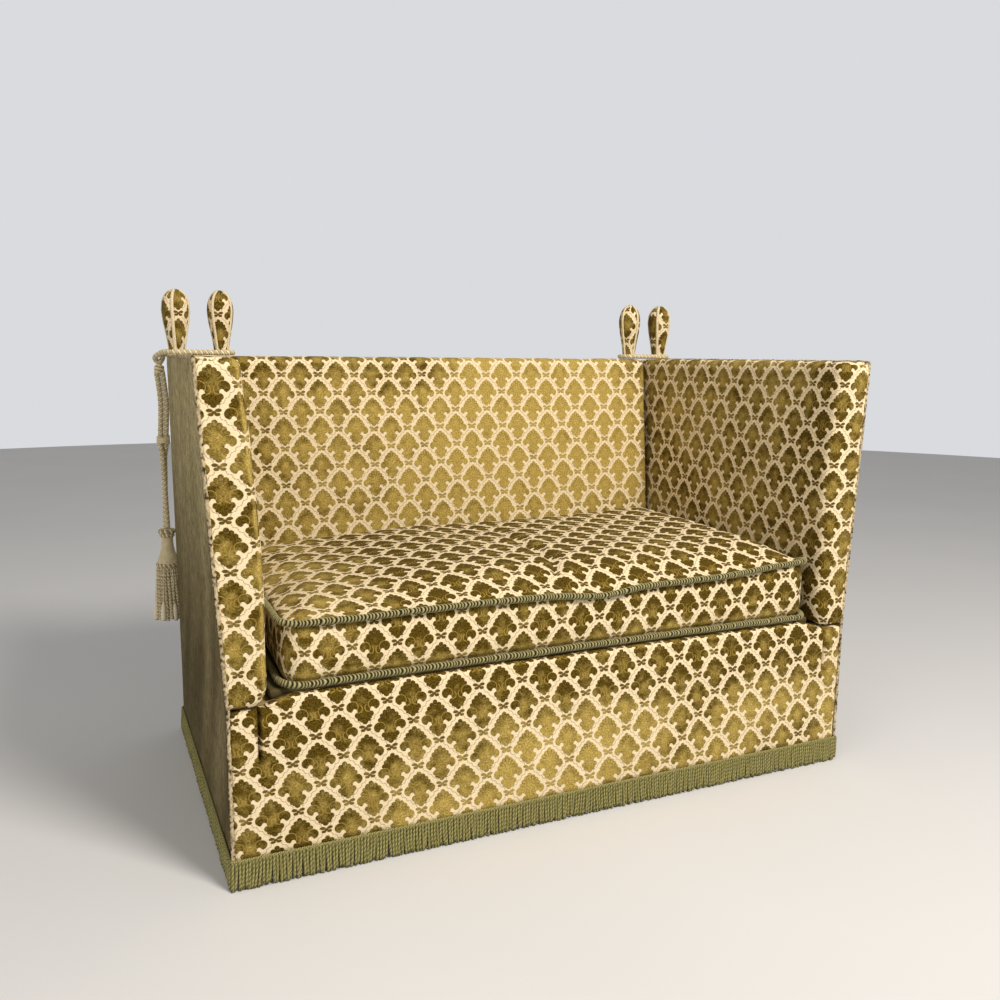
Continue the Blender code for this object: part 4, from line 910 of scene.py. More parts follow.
def make_tie_tail(side):
    """Two strands from the knot to the tassel. They are bound together below their middle, and hang
    one behind the other from there down."""
    word = side_name(side)
    knot = make_knot(side)
    half = TIE_STRAND_SPACING / 2
    middle = smooth_route(tail_route(side, 0.0), 0.0012)
    at = min(middle, key=lambda p: abs(p.z - TIE_BINDING_LEVEL))
    coil = []
    turns, in_a_turn, tall, reach = 4, 24, 0.017, TIE_RADIUS + 0.0012
    for i in range(turns * in_a_turn + 1):
        turn = i / in_a_turn * 2 * math.pi
        coil.append(Vector((at.x + (half + reach) * math.cos(turn), at.y + reach * math.sin(turn),
                            TIE_BINDING_LEVEL + tall / 2 - i / (turns * in_a_turn) * tall)))
    binding = sweep(f"tie_binding_{word}", coil, rope(0.0026, 2, 0.008), 8)
    finish(binding, "tie_cord", f"tie_{word}")
    for letter, start in (("a", 0.0), ("b", math.pi)):
        points = []
        for point in middle:
            below = ramp(TIE_BINDING_LEVEL, TIE_BINDING_LEVEL - 0.05, point.z)
            turn = start + below * TIE_TURN + max(TIE_BINDING_LEVEL - 0.05 - point.z, 0.0) * TIE_WINDING
            points.append(point + Vector((math.cos(turn), math.sin(turn), 0.0)) * half)
        strand = sweep(f"tie_rope_tail_{word}_{letter}", points, tie_rope_section, 12)
        finish(strand, "tie_cord", f"tie_{word}", [f"tie_tail_{word}"])
        path = points[::8] + ([points[-1]] if (len(points) - 1) % 8 else [])
        route_length(path)


# ---------------------------------------------------------------- shapes that several pieces follow

def lean_at(y, z):
    """How far the racked arm stands outwards at a height."""
    share = min(max((y - FRONT) / DEPTH, 0.0), 1.0)
    return blend(ARM_LEAN_FRONT, ARM_LEAN_REAR, share) * max(z - HINGE_HEIGHT, 0.0) / (TOP - HINGE_HEIGHT)


def arm_thickness(height_share, depth_share):
    height_share = min(max(height_share, 0.0), 1.0)
    foot = ARM_FOOT_THICKNESS if height_share < 0.5 else ARM_TOP_THICKNESS
    front = blend(foot, ARM_MIDDLE_THICKNESS, math.sin(math.pi * height_share))
    rear = blend(ARM_FOOT_THICKNESS, ARM_REAR_THICKNESS, math.sqrt(height_share))
    return blend(front, rear, min(max(depth_share, 0.0), 1.0))


def back_front_face(z):
    """How far forward the raked front of the back stands at a height."""
    seat = DECK_TOP + BACK_SEAT_THICKNESS
    if z < seat:
        share = max(z - BACK_BOTTOM, 0.0) / (seat - BACK_BOTTOM)
        return REAR - BACK_SEAT_THICKNESS + BACK_TUCK * (1 - share) ** 2
    return REAR - blend(BACK_SEAT_THICKNESS, BACK_TOP_THICKNESS, (z - seat) / (TOP - seat))


def eased_depth(depth, full, real, kept):
    """Squeezes the depth of a flat pad to its real thickness, and leaves its rounded front alone."""
    return min(depth, kept) + max(depth - kept, 0.0) * (real - kept) / (full - kept)


# ---------------------------------------------------------------- upholstered pieces

def make_front_border():
    """The padded border under the cushion, with a narrower wing below each arm."""
    border = block("front_border_cover", (-BORDER_HALF_WIDTH, FRONT, COVER_BOTTOM),
                   (BORDER_HALF_WIDTH, FRONT + BORDER_THICKNESS, BORDER_TOP))
    widen_below(border, WING_TOP, BORDER_HALF_WIDTH, SIDE - COVER_GAP)
    round_edges(border, BORDER_CORNER, 5, lambda p, n: p.z > BORDER_TOP - ON_FACE and abs(n.y) > 0.9)
    round_edges(border, 0.010, 3, lambda p, n: p.y < FRONT + ON_FACE and (
        p.z > WING_TOP - 0.012 and abs(p.x) < BORDER_HALF_WIDTH + ON_FACE and p.z > WING_TOP + 0.0005
        or abs(p.x) > BORDER_HALF_WIDTH + 0.06 and abs(n.z) > 0.9))
    slice_across(0, spaced(-SIDE, SIDE, 0.032))
    for side in (-1, 1):
        slice_across(0, [side * (SLIT_X + d) for d in (-0.006, -0.0022, 0.0, 0.0022, 0.006)])
    slice_across(2, spaced(COVER_BOTTOM, BORDER_TOP, 0.028) + [SLIT_BOTTOM, SLIT_BOTTOM - 0.006])
    soften(border)

    def chart(x, y, z, normal):
        rise = z + (y - FRONT if normal.z > 0.7 else 0.0) - BORDER_CROSSING[1]
        along = x - BORDER_CROSSING[0] + BORDER_SLANT * rise
        return along * BORDER_STRETCH, rise * BORDER_STRETCH

    def shape(x, y, z):
        depth_share = max(1 - (y - FRONT) / BORDER_THICKNESS, 0.0)
        inner = min(ramp(0, 0.12, z - COVER_BOTTOM), ramp(0, 0.08, BORDER_TOP - z))
        puff = 0.0035 * inner + 0.0016 * ripple(x, 0, z, 0.16, 1.0) + 0.0012 * ripple(x, 0, z, 0.06, 2.0)
        y -= depth_share * puff
        slit = max(0.0, 1 - abs(abs(x) - SLIT_X) / 0.0050) * ramp(SLIT_BOTTOM - 0.004, SLIT_BOTTOM + 0.012, z)
        y += depth_share * 0.022 * slit
        if z > WING_TOP + 0.004:
            z += 0.0012 * ripple(x, y, 0, 0.11, 3.0)
            z -= (z - WING_TOP) * 0.62 * ramp(0.585, 0.672, abs(x)) ** 2
        return x, y, z

    def wear_and_light(x, y, z):
        # Painted sheen: the lower half turns golden, most of all near the middle. The rest of the border's
        # tone varies across it, with a golden patch on the right wing.
        low = ramp(0.335, 0.165, z)
        spread = 0.50 + 0.45 * math.exp(-((x + 0.05) / 0.30) ** 2)
        spread += 0.16 * ramp(0.0, 0.5, x) - 0.14 * ramp(-0.1, -0.5, x)
        gold_share = 0.08 * ramp(-0.5, 0.0, x) - 0.10 + 0.4 * ramp(0.67, 0.70, x)
        return gold_share + low * spread + 0.25 * ripple(x, 0, z, 0.2, 4.0) * low

    fit_pad(border, chart, shape, wear_and_light)
    finish(border, "cut_moquette", "root", ["front_border"])


def make_back_pad():
    """The raked back, which turns over its top."""
    full = BACK_SEAT_THICKNESS
    pad = block("back_cover", (-BACK_HALF_WIDTH, 0, BACK_BOTTOM), (BACK_HALF_WIDTH, full, TOP))
    round_edges(pad, BACK_ROUNDING, 4, lambda p, n: p.y < ON_FACE and p.z > BACK_BOTTOM + 0.01)
    slice_across(0, spaced(-BACK_HALF_WIDTH, BACK_HALF_WIDTH, 0.034))
    slice_across(2, spaced(BACK_BOTTOM, TOP, 0.034))
    slice_across(1, [0.06, 0.10])
    soften(pad)

    def chart(x, y, z, normal):
        if normal.y > 0.7:
            return x - BACK_CROSSING[0], z - BACK_CROSSING[1]
        if abs(normal.x) > 0.75:
            return x + math.copysign(y, x) - BACK_CROSSING[0], z - BACK_CROSSING[1]
        rise = TOP + unroll(TOP - z, y, BACK_ROUNDING)
        return x - BACK_CROSSING[0], rise - BACK_CROSSING[1]

    def shape(x, y, z):
        face = back_front_face(z)
        front_share = ramp(0.05, 0.0, y)
        sag = 0.0020 * ripple(x, 0, z, 0.30, 5.0) + 0.0011 * ripple(x, 0, z, 0.09, 6.0)
        puff = 0.004 * ramp(0, 0.15, BACK_HALF_WIDTH - abs(x)) * ramp(0.0, 0.2, TOP - z)
        place = face + eased_depth(y, full, REAR - BACK_PAD_GAP - face, ROUND_FACE)
        place -= front_share * (puff + sag)
        if z > TOP - 0.03:
            z += 0.0012 * ripple(x, y, 0, 0.14, 7.0) - 0.0010 * ramp(0.3, 0.0, abs(x))
        return x, place, z

    def wear_and_light(x, y, z):
        # A painted patch of light, right of the middle and high up. The whole back's pile is also kept
        # golden, partly as painted light.
        painted_light_patch = ramp(-0.12, 0.14, x) * ramp(0.66, 0.45, x) * ramp(0.55, 0.72, z)
        soft = 0.50 * ramp(0.99, 0.84, z) * ramp(-0.75, -0.1, x)
        return min(0.7 * painted_light_patch + soft + 0.36 + 0.2 * ripple(x, 0, z, 0.25, 8.0), 1.15)

    fit_pad(pad, chart, shape, wear_and_light)
    finish(pad, "cut_moquette", "root", ["back_pad"])


def make_arm_pad(side):
    """The arm's inner face, top, front and rear in one wrapped piece."""
    full = ARM_TOP_THICKNESS
    inner = SIDE - full
    outer = SIDE - COVER_GAP
    pad = block(f"arm_cover_{side_name(side)}", (inner, FRONT, ARM_FOLD), (outer, REAR, TOP))
    round_edges(pad, ARM_ROUNDING, 4, lambda p, n: (p.x < inner + ON_FACE and p.y < REAR - 0.01)
                or (p.y < FRONT + ON_FACE and p.z > TOP - ON_FACE))
    round_edges(pad, 0.004, 2, lambda p, n: (p.x > outer - ON_FACE and abs(n.x) < 0.1)
                or (p.y > REAR - ON_FACE and abs(n.y) < 0.1))
    slice_across(1, spaced(FRONT, REAR, 0.034))
    slice_across(2, spaced(ARM_FOLD, TOP, 0.033))
    slice_across(0, [inner + 0.040, inner + 0.062])
    soften(pad)
    crossing = LEFT_ARM_CROSSING if side < 0 else RIGHT_ARM_CROSSING

    def chart(x, y, z, normal):
        before = 0.0 if max(abs(normal.z), normal.y) > 0.7 else x - inner
        along = crossing[0] - inner + unroll(before, y - FRONT, ARM_ROUNDING)
        if normal.y < -0.72:
            rise = TOP + unroll(TOP - z, y - FRONT, ARM_ROUNDING)
            return along, rise - crossing[1]
        if normal.y > 0.7:
            return along + x - inner, z - crossing[1]
        if normal.z < -0.7:
            return along, z - (x - inner) - crossing[1]
        rise = TOP + unroll(TOP - z, x - inner, ARM_ROUNDING)
        return along, rise - crossing[1]

    def shape(x, y, z):
        depth_share = (y - FRONT) / DEPTH
        thickness = arm_thickness((z - ARM_BOTTOM) / (TOP - ARM_BOTTOM), depth_share)
        inset = x - inner
        inner_share = ramp(0.05, 0.0, inset)
        place = SIDE - thickness + eased_depth(inset, outer - inner, thickness - COVER_GAP, ROUND_FACE)
        place -= inner_share * (0.0022 * ripple(0, y, z, 0.22, 9.0 + side)
                                + 0.0010 * ripple(0, y, z, 0.08, 10.0 + side))
        place += inner_share * 0.014 * max(0.0, 1 - (z - ARM_FOLD) / 0.050) ** 2
        front_share = ramp(FRONT + 0.05, FRONT, y)
        y -= front_share * (0.0015 + 0.0014 * ripple(x, 0, z, 0.10, 11.0 + side))
        if z > TOP - 0.03:
            z += 0.0010 * ripple(0, y, 0, 0.12, 12.0 + side)
        return side * (place + lean_at(y, z)), y, z

    def wear_and_light(x, y, z):
        corner = unroll(x - inner, y - FRONT, ARM_ROUNDING)
        if side < 0:
            ridge = math.exp(-((corner + 0.006) / 0.005) ** 2)
            return 0.24 + 0.9 * ridge + 0.3 * ripple(x, y, z, 0.13, 13.0)
        # On the right arm the pile stays dark on the inner face near the front: painted shade. It turns
        # golden towards the rear, and on the front face away from the inner edge.
        front = 0.26 * ramp(-0.030, -0.045, corner) if y < FRONT + 0.02 else 0.0
        return max(front, 0.42 * ramp(FRONT + 0.02, FRONT + 0.20, y)) + 0.03 \
            + 0.2 * ripple(x, y, z, 0.2, 14.0)

    fit_pad(pad, chart, shape, wear_and_light)
    finish(pad, "cut_moquette", f"arm_{side_name(side)}",
           [f"arm_pad_{side_name(side)}"])
    if side < 0:
        flip_outward(pad)


def flip_outward(obj):
    """Turns all faces of a piece outwards."""
    pick(obj)
    bpy.ops.object.mode_set(mode="EDIT")
    bpy.ops.mesh.select_all(action="SELECT")
    bpy.ops.mesh.normals_make_consistent(inside=False)
    bpy.ops.object.mode_set(mode="OBJECT")


def bend_with_arm(obj):
    """Bakes the placing of a piece that runs from the base up over the arm into its mesh."""
    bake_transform(obj)


def make_outer_side(side):
    """The plain outer side, one cloth from the top of the arm down to the fringe."""
    panel = block(f"outer_side_{side_name(side)}", (SIDE - COVER_THICKNESS, FRONT + 0.004, COVER_BOTTOM),
                  (SIDE, REAR - 0.001, TOP - 0.003))
    round_edges(panel, 0.003, 2, lambda p, n: p.x > SIDE - ON_FACE)
    slice_across(1, spaced(FRONT, REAR, 0.036))
    near_hinge = [HINGE_HEIGHT + d for d in (-0.018, -0.012, -0.007, -0.0025, 0.0025, 0.007, 0.012, 0.018)]
    slice_across(2, spaced(COVER_BOTTOM, 0.325, 0.036) + near_hinge + spaced(0.375, TOP, 0.036))
    soften(panel)

    def chart(x, y, z, normal):
        across = y if abs(normal.y) < 0.7 else y + x
        return across, z + (x if abs(normal.z) > 0.7 else 0.0)

    def shape(x, y, z):
        outer_share = ramp(SIDE - COVER_THICKNESS, SIDE, x)
        x += outer_share * 0.0007 * (1 + ripple(0, y, z * 0.5, 0.12, 15.0 + side))
        return side * (x + lean_at(y, z)), y, z

    def darkening(x, y, z):
        # Darker towards the bottom and along the front edge, with streaks.
        streak = ripple(0, y + 0.6 * z, z * 0.3, 0.11, 16.0)
        return 0.78 * ramp(0.97, 0.30, z) + 0.14 * streak + 0.30 * ramp(-0.385, -0.42, y)

    fit_pad(panel, chart, shape, darkening)
    finish(panel, "plain_ribbed_cover", None,
           [f"side_cover_{side_name(side)}", f"arm_outer_cover_{side_name(side)}"])
    if side < 0:
        flip_outward(panel)
    bend_with_arm(panel)


def make_rear_cover():
    """The plain rear: as wide as the base below, and between the arms above."""
    panel = block("rear_cover", (-BACK_COVER_HALF_WIDTH, REAR - COVER_THICKNESS, COVER_BOTTOM),
                  (BACK_COVER_HALF_WIDTH, REAR, BACK_COVER_TOP))
    widen_below(panel, BASE_COVER_TOP, BACK_COVER_HALF_WIDTH, SIDE - 0.001)
    round_edges(panel, 0.003, 2, lambda p, n: p.y > REAR - ON_FACE)
    slice_across(0, spaced(-SIDE, SIDE, 0.045))
    slice_across(2, spaced(COVER_BOTTOM, BACK_COVER_TOP, 0.045))
    soften(panel)

    def chart(x, y, z, normal):
        return x, z

    def shape(x, y, z):
        outer_share = ramp(REAR - COVER_THICKNESS, REAR, y)
        return x, y + outer_share * 0.0008 * (1 + ripple(x, 0, z * 0.6, 0.15, 17.0)), z

    def darkening(x, y, z):
        # Darker towards the bottom.
        return 0.25 * ramp(0.95, 0.25, z) + 0.10 * ripple(x, 0, z * 0.4, 0.14, 18.0)

    fit_pad(panel, chart, shape, darkening)
    finish(panel, "plain_ribbed_cover", "root", ["back_outer_cover"])


def make_piping(side):
    """Worn piping down the front outer corner, and along the outer edge of the arm's top."""
    word = side_name(side)
    route = []
    for i in range(14):
        y = blend(REAR - 0.004, FRONT + 0.012, i / 13)
        route.append((SIDE - 0.0012 + lean_at(y, TOP), y, TOP - 0.0012))
    route.append((SIDE - 0.0012 + lean_at(FRONT, TOP), FRONT + 0.002, TOP - 0.004))
    for i in range(20):
        z = blend(TOP - 0.012, FRINGE_TOP, i / 19)
        route.append((SIDE - 0.0010 + lean_at(FRONT, z), FRONT + 0.0006, z))
    points = smooth_route([(side * x, y, z) for x, y, z in route], 0.0020)

    def frayed(angle, distance):
        wear = 0.5 + 0.5 * ripple(distance, angle * 0.004, 0, 0.006, 20.0 + side)
        loose = ripple(distance, angle * 0.01, 0, 0.0035, 22.0 + side)
        long = 0.5 + 0.5 * ripple(distance, 0, 0, 0.030, 24.0 + side)
        return 0.0030 + 0.0011 * loose + 0.0006 * long, min(1.0, 0.85 * wear * wear + 0.25 * long)

    piping = sweep(f"edge_piping_{word}", points, frayed, 10)
    finish(piping, "worn_piping")
    bend_with_arm(piping)


FINIAL_PROFILE_SHARES = ((0.0, -0.02), (0.12, 0.05), (0.30, 0.36), (0.50, 0.78), (0.68, 1.0), (0.82, 0.93),
                         (0.92, 0.70), (0.98, 0.36))
BRAID_LIFT = 0.0004
BRAID_TURNS = {"arm_left": -20, "back_left": -42, "back_right": 17, "arm_right": 47}


def finial_radius(share):
    """The finial's radius at a share of its height."""
    pairs = [(h, blend(FINIAL_NECK_RADIUS, FINIAL_BULB_RADIUS, b) if h <= 0.68 else FINIAL_BULB_RADIUS * b)
             for h, b in FINIAL_PROFILE_SHARES] + [(1.0, 0.0)]
    for (low, one), (high, two) in zip(pairs, pairs[1:]):
        if share <= high:
            t = (share - low) / (high - low)
            if high == 1.0:
                return one * math.sqrt(max(1 - t * t, 0.0))
            return blend(one, two, t)
    return 0.0


def make_finial(name, body, x, node):
    """A padded club, covered in moquette, with four braids over its seams."""
    deselect()
    bpy.ops.mesh.primitive_circle_add(vertices=24, radius=finial_radius(0.0), fill_type="NGON",
                                      location=(x, FINIAL_Y, TOP + 0.0003))
    club = bpy.context.object
    club.name = f"finial_cover_{name}"
    bpy.ops.object.mode_set(mode="EDIT")
    bpy.ops.mesh.select_all(action="SELECT")
    before = 0.0
    for share in (0.06, 0.12, 0.21, 0.30, 0.40, 0.50, 0.59, 0.68, 0.76, 0.84, 0.91, 0.96, 0.99):
        bpy.ops.mesh.extrude_region_move(
            TRANSFORM_OT_translate={"value": (0, 0, (share - before) * FINIAL_HEIGHT)})
        grown = finial_radius(share) / finial_radius(before)
        bpy.ops.transform.resize(value=(grown, grown, 1))
        before = share
    bpy.ops.mesh.extrude_region_move(TRANSFORM_OT_translate={"value": (0, 0, 0.01 * FINIAL_HEIGHT)})
    bpy.ops.mesh.merge(type="CENTER")
    flip_outward(club)
    bpy.ops.object.transform_apply()
    soften(club)

    def chart(across, deep, high, normal):
        turn = math.atan2(deep - FINIAL_Y, across - x)
        if abs(turn) > 3.0 and normal.y * turn < 0:
            turn = -turn
        return turn * FINIAL_BULB_RADIUS + x, high - 0.046

    fit_pad(club, chart, lambda *where: where, lambda *where: 0.18 + 0.2 * ripple(*where, 0.03, x))
    finish(club, "cut_moquette", body, [node])
    braids = []
    half_width, half_depth, plait_length = 0.0042, 0.0019, 0.0052
    for quarter in range(4):
        turn = math.radians(BRAID_TURNS[name] - 90 + 90 * quarter)
        points = []
        for i in range(31):
            share = blend(0.0, 0.985, (i / 30) ** 0.9)
            points.append(around(x, FINIAL_Y, TOP + BRAID_LIFT + share * FINIAL_HEIGHT,
                                 finial_radius(share) + BRAID_LIFT, turn))
        across = Vector((-math.sin(turn), math.cos(turn), 0))
        points = even_points(points, 0.0026, False)

        def section(angle, distance):
            squeezed = half_depth / half_width * math.cos(angle)
            flat = half_depth / math.sqrt(squeezed ** 2 + math.sin(angle) ** 2)
            plait = abs(math.sin(math.pi * distance / plait_length + math.cos(angle)))
            # Painted shade between the plaits.
            return flat * (0.93 + 0.1 * plait), 0.5 * (1 - plait) ** 2

        braids.append(sweep(f"braid_{name}_{quarter}", points, section, 10, lead=across))
    finish(join_pieces(braids, f"finial_braid_{name}"), "cream_braid", body)


# ---------------------------------------------------------------- seat cushion

def cushion_outline(inset, corner_steps=6, long_steps=40, short_steps=22):
    """The cushion in plan: round corners, with the sides drawn in between them."""
    half_x = CUSHION_HALF_WIDTH - inset
    half_y = CUSHION_HALF_DEPTH - inset
    radius = CUSHION_CORNER_RADIUS - inset
    points = []
    for number, (sx, sy, start) in enumerate(CORNERS):
        centre = (sx * (half_x - radius), sy * (half_y - radius))
        points += arc(centre, radius, start, start + 90, corner_steps)
        next_x, next_y = CORNERS[(number + 1) % 4][:2]
        after = (next_x * (half_x - radius), next_y * (half_y - radius))
        count = short_steps if next_x == sx else long_steps
        outward = (sx if next_x == sx else 0, sy if next_y == sy else 0)
        for i in range(1, count):
            share = i / count
            draw = CUSHION_DRAW_IN * math.sin(math.pi * share)
            points.append((blend(centre[0], after[0], share) + outward[0] * (radius - draw),
                           blend(centre[1], after[1], share) + outward[1] * (radius - draw)))
    return [(x + 0.012 * ramp(-0.55, -0.65, x) - 0.006 * ramp(0.55, 0.65, x), y + CUSHION_MIDDLE_Y)
            for x, y in points]


def seam_rise(x, y):
    """How far the upper seam strays from level: at the front it sags below the crease, and it rises
    towards the right end, which is stuffed fuller."""
    near_front = ramp(0.09, 0.01, y - CUSHION_FRONT)
    return near_front * (0.017 * ramp(0.32, 0.63, x) - 0.013 * math.exp(-((x - 0.05) / 0.10) ** 2))


def crown(x, y):
    """The height of the filled top above its cord: steep at its edges, and highest behind the middle."""
    edge = 0.0
    left = ramp(-0.10, -0.58, x)
    for inside, reach in ((y - CUSHION_FRONT, blend(0.22, 0.34, left)), (CUSHION_REAR - y, 0.12),
                          (CUSHION_HALF_WIDTH - abs(x), 0.13 if x > 0 else 0.20)):
        edge += max(1 - inside / reach, 0.0) ** 6
    dip = CUSHION_MIDDLE_DIP * math.exp(-((x / CUSHION_DIP_HALF_WIDTH) ** 2))
    full = CUSHION_CROWN + 0.005 * ramp(0.2, 0.42, y - CUSHION_FRONT) - 0.022 * left
    full += 0.009 * ramp(0.30, 0.60, x) * ramp(0.02, 0.10, y - CUSHION_FRONT)
    return max(1 - edge ** (2.2 / 6), 0.0) * (full - dip)


def cushion_cage(shrink, sink):
    """A plain closed form of the cushion, smaller all round by shrink and lower on top by sink."""
    low, high = CUSHION_LOWER_CORD, CUSHION_UPPER_CORD
    rings = [(CUSHION_CORD_RADIUS * 2 + shrink, DECK_TOP + DECK_GAP)]
    rings += [(CUSHION_CORD_RADIUS + shrink, low), (shrink, low + 0.010)]
    rings += [(shrink - 0.003, blend(low, high, s)) for s in (0.25, 0.5, 0.75)]
    rings += [(shrink, high - 0.010), (CUSHION_CORD_RADIUS + shrink, high)]
    cage = bmesh.new()
    loops = []
    for inset, z in rings:
        share = min(max((z - low) / (high - low), 0.0), 1.0)
        loops.append([cage.verts.new((x, y, z + seam_rise(x, y) * share)) for x, y in cushion_outline(inset)])
    drawn = cushion_outline(CUSHION_CORD_RADIUS + shrink)
    for share in (0.98, 0.95, 0.91, 0.86, 0.80, 0.72, 0.62, 0.50, 0.36, 0.22, 0.10):
        ring = [(x * share, CUSHION_MIDDLE_Y + (y - CUSHION_MIDDLE_Y) * share) for x, y in drawn]
        loops.append([cage.verts.new((x, y, high + seam_rise(x, y) + max(crown(x, y) - sink, 0.0)))
                      for x, y in ring])
    for one, two in zip(loops, loops[1:]):
        for i in range(len(one)):
            j = (i + 1) % len(one)
            cage.faces.new((one[i], one[j], two[j], two[i]))
    cage.faces.new(list(reversed(loops[0])))
    cage.faces.new(loops[-1])
    mesh = bpy.data.meshes.new("seat_cushion_cover")
    cage.to_mesh(mesh)
    cage.free()
    return new_object("seat_cushion_cover", mesh)


def fill_with_pressure(obj, most):
    """Swells a closed cloth skin from inside, as its filling does, by no more than most."""
    start = np.empty(len(obj.data.vertices) * 3, np.float32)
    obj.data.vertices.foreach_get("co", start)
    cloth = obj.modifiers.new("Filling", "CLOTH")
    cloth.settings.use_pressure = True
    cloth.settings.uniform_pressure_force = 4.0
    cloth.settings.effector_weights.gravity = 0.0
    cloth.settings.quality = 4
    cloth.settings.mass = 0.3
    cloth.settings.tension_stiffness = cloth.settings.compression_stiffness = 18
    cloth.settings.bending_stiffness = 0.8
    cloth.point_cache.frame_start, cloth.point_cache.frame_end = 1, FILLING_FRAMES
    scene = bpy.context.scene
    for number in range(FILLING_FRAMES):
        scene.frame_set(number + 1)
    evaluated = obj.evaluated_get(bpy.context.evaluated_depsgraph_get())
    swollen = np.empty_like(start)
    evaluated.data.vertices.foreach_get("co", swollen)
    obj.modifiers.remove(cloth)
    scene.frame_set(1)
    moved = (swollen - start).reshape(-1, 3)
    reach = np.linalg.norm(moved, axis=1, keepdims=True)
    moved *= np.minimum(1.0, most / np.maximum(reach, 1e-9))
    obj.data.vertices.foreach_set("co", (start.reshape(-1, 3) + moved).ravel())
    obj.data.update()


def edge_distance(x, y):
    """How far inside the cushion's plan a point lies."""
    dx = CUSHION_HALF_WIDTH - abs(x)
    dy = CUSHION_HALF_DEPTH - abs(y - CUSHION_MIDDLE_Y)
    r = CUSHION_CORNER_RADIUS
    if dx < r and dy < r:
        return r - math.hypot(r - dx, r - dy)
    return min(dx, dy)


def boxing_chart(x, y):
    """How far round the cushion a point of its boxing lies from the middle of its front."""
    bend_x, bend_y = CUSHION_HALF_WIDTH - CUSHION_CORNER_RADIUS, CUSHION_FRONT + CUSHION_CORNER_RADIUS
    past_x, past_y = abs(x) - bend_x, bend_y - y
    if past_y <= 0:
        return math.copysign(bend_x + CUSHION_CORNER_RADIUS * math.pi / 2 - past_y, x)
    if past_x <= 0:
        return x
    return math.copysign(bend_x + CUSHION_CORNER_RADIUS * math.atan2(past_x, past_y), x)


def make_cushion():
    """The loose seat cushion: boxed, crowned, and softest in the middle."""
    cushion = cushion_cage(0.004, 0.008)
    pick(cushion)
    cushion.data.remesh_voxel_size = 0.011
    bpy.ops.object.voxel_remesh()
    fill_with_pressure(cushion, 0.010)
    soften(cushion)
    mesh = cushion.data
    low, high = CUSHION_LOWER_CORD, CUSHION_UPPER_CORD
    top_from = high + 0.004
    weave = new_weave(mesh)
    stretch = REPEAT_WIDTH / BOXING_REPEAT
    wear_and_light = []
    for vertex in mesh.vertices:
        x, y, z = vertex.co
        if z > high:
            value = -0.16 + 0.22 * ripple(x, y, 0, 0.2, 30.0) + 0.62 * ramp(-0.25, -0.60, x)
        else:
            value = 0.02 + 0.22 * ripple(x, 0, z, 0.12, 31.0) + 0.55 * ramp(0.425, 0.39, z)
            value += 0.3 * ramp(-0.55, -0.64, x)
        wear_and_light.append(min(max(value, -0.3), 1.0))
    for polygon in mesh.polygons:
        normal = polygon.normal
        boxing = -0.75 <= normal.z <= 0.55 and polygon.center.z <= top_from
        for loop in polygon.loop_indices:
            x, y, z = mesh.vertices[mesh.loops[loop].vertex_index].co
            if boxing:
                along = -x if normal.y > 0.7 else boxing_chart(x, y)
                uv = ((along - BOXING_CROSSING[0]) * stretch, z - BOXING_CROSSING[1])
            else:
                # Where the top falls away to its seam, the weave follows the fall
                fall = max(0.0, high + 0.024 - z) * 0.25
                from_end = CUSHION_HALF_WIDTH - abs(x)
                from_long = CUSHION_HALF_DEPTH - abs(y - CUSHION_MIDDLE_Y)
                if from_long < from_end:
                    y += math.copysign(fall, y - CUSHION_MIDDLE_Y)
                else:
                    x += math.copysign(fall, x)
                uv = (x - CUSHION_TOP_CROSSING[0], y - CUSHION_TOP_CROSSING[1])
            weave.data[loop].uv = uv
    for vertex in mesh.vertices:
        x, y, z = vertex.co
        near = edge_distance(x, y)
        # The seams are drawn in under the cords
        for level in (low, high + seam_rise(x, y)):
            pull = max(0.0, 1 - abs(z - level) / 0.012) * ramp(SEAM_REACH, 0.0, near)
            if pull > 0:
                across, deep = x, y - CUSHION_MIDDLE_Y
                inward = Vector((-across if abs(across) > CUSHION_HALF_WIDTH - SEAM_REACH else 0.0,
                                 -deep if abs(deep) > CUSHION_HALF_DEPTH - SEAM_REACH else 0.0, 0))
                if inward.length > 0:
                    step = inward.normalized() * SEAM_PULL * pull
                    x, y = x + step.x, y + step.y
        if z > top_from:
            z += 0.0016 * ripple(x, y, 0, 0.12, 32.0) * ramp(0.0, 0.06, near)
            # Two people's places have left a crease between them, which slants at the front
            crease = x - blend(-0.032, 0.014, ramp(-0.42, -0.22, y))
            length = ramp(-0.415, -0.35, y) * ramp(0.14, -0.10, y)
            sunk = 0.009 * math.exp(-(crease / 0.013) ** 2)
            z -= length * (sunk - 0.004 * math.exp(-((crease - 0.034) / 0.024) ** 2))
        vertex.co = (x, y, max(z, DECK_TOP + DECK_GAP))
    paint(cushion, "wear_and_light", wear_and_light)
    finish(cushion, "cut_moquette", "cushion", ["seat_cushion"])


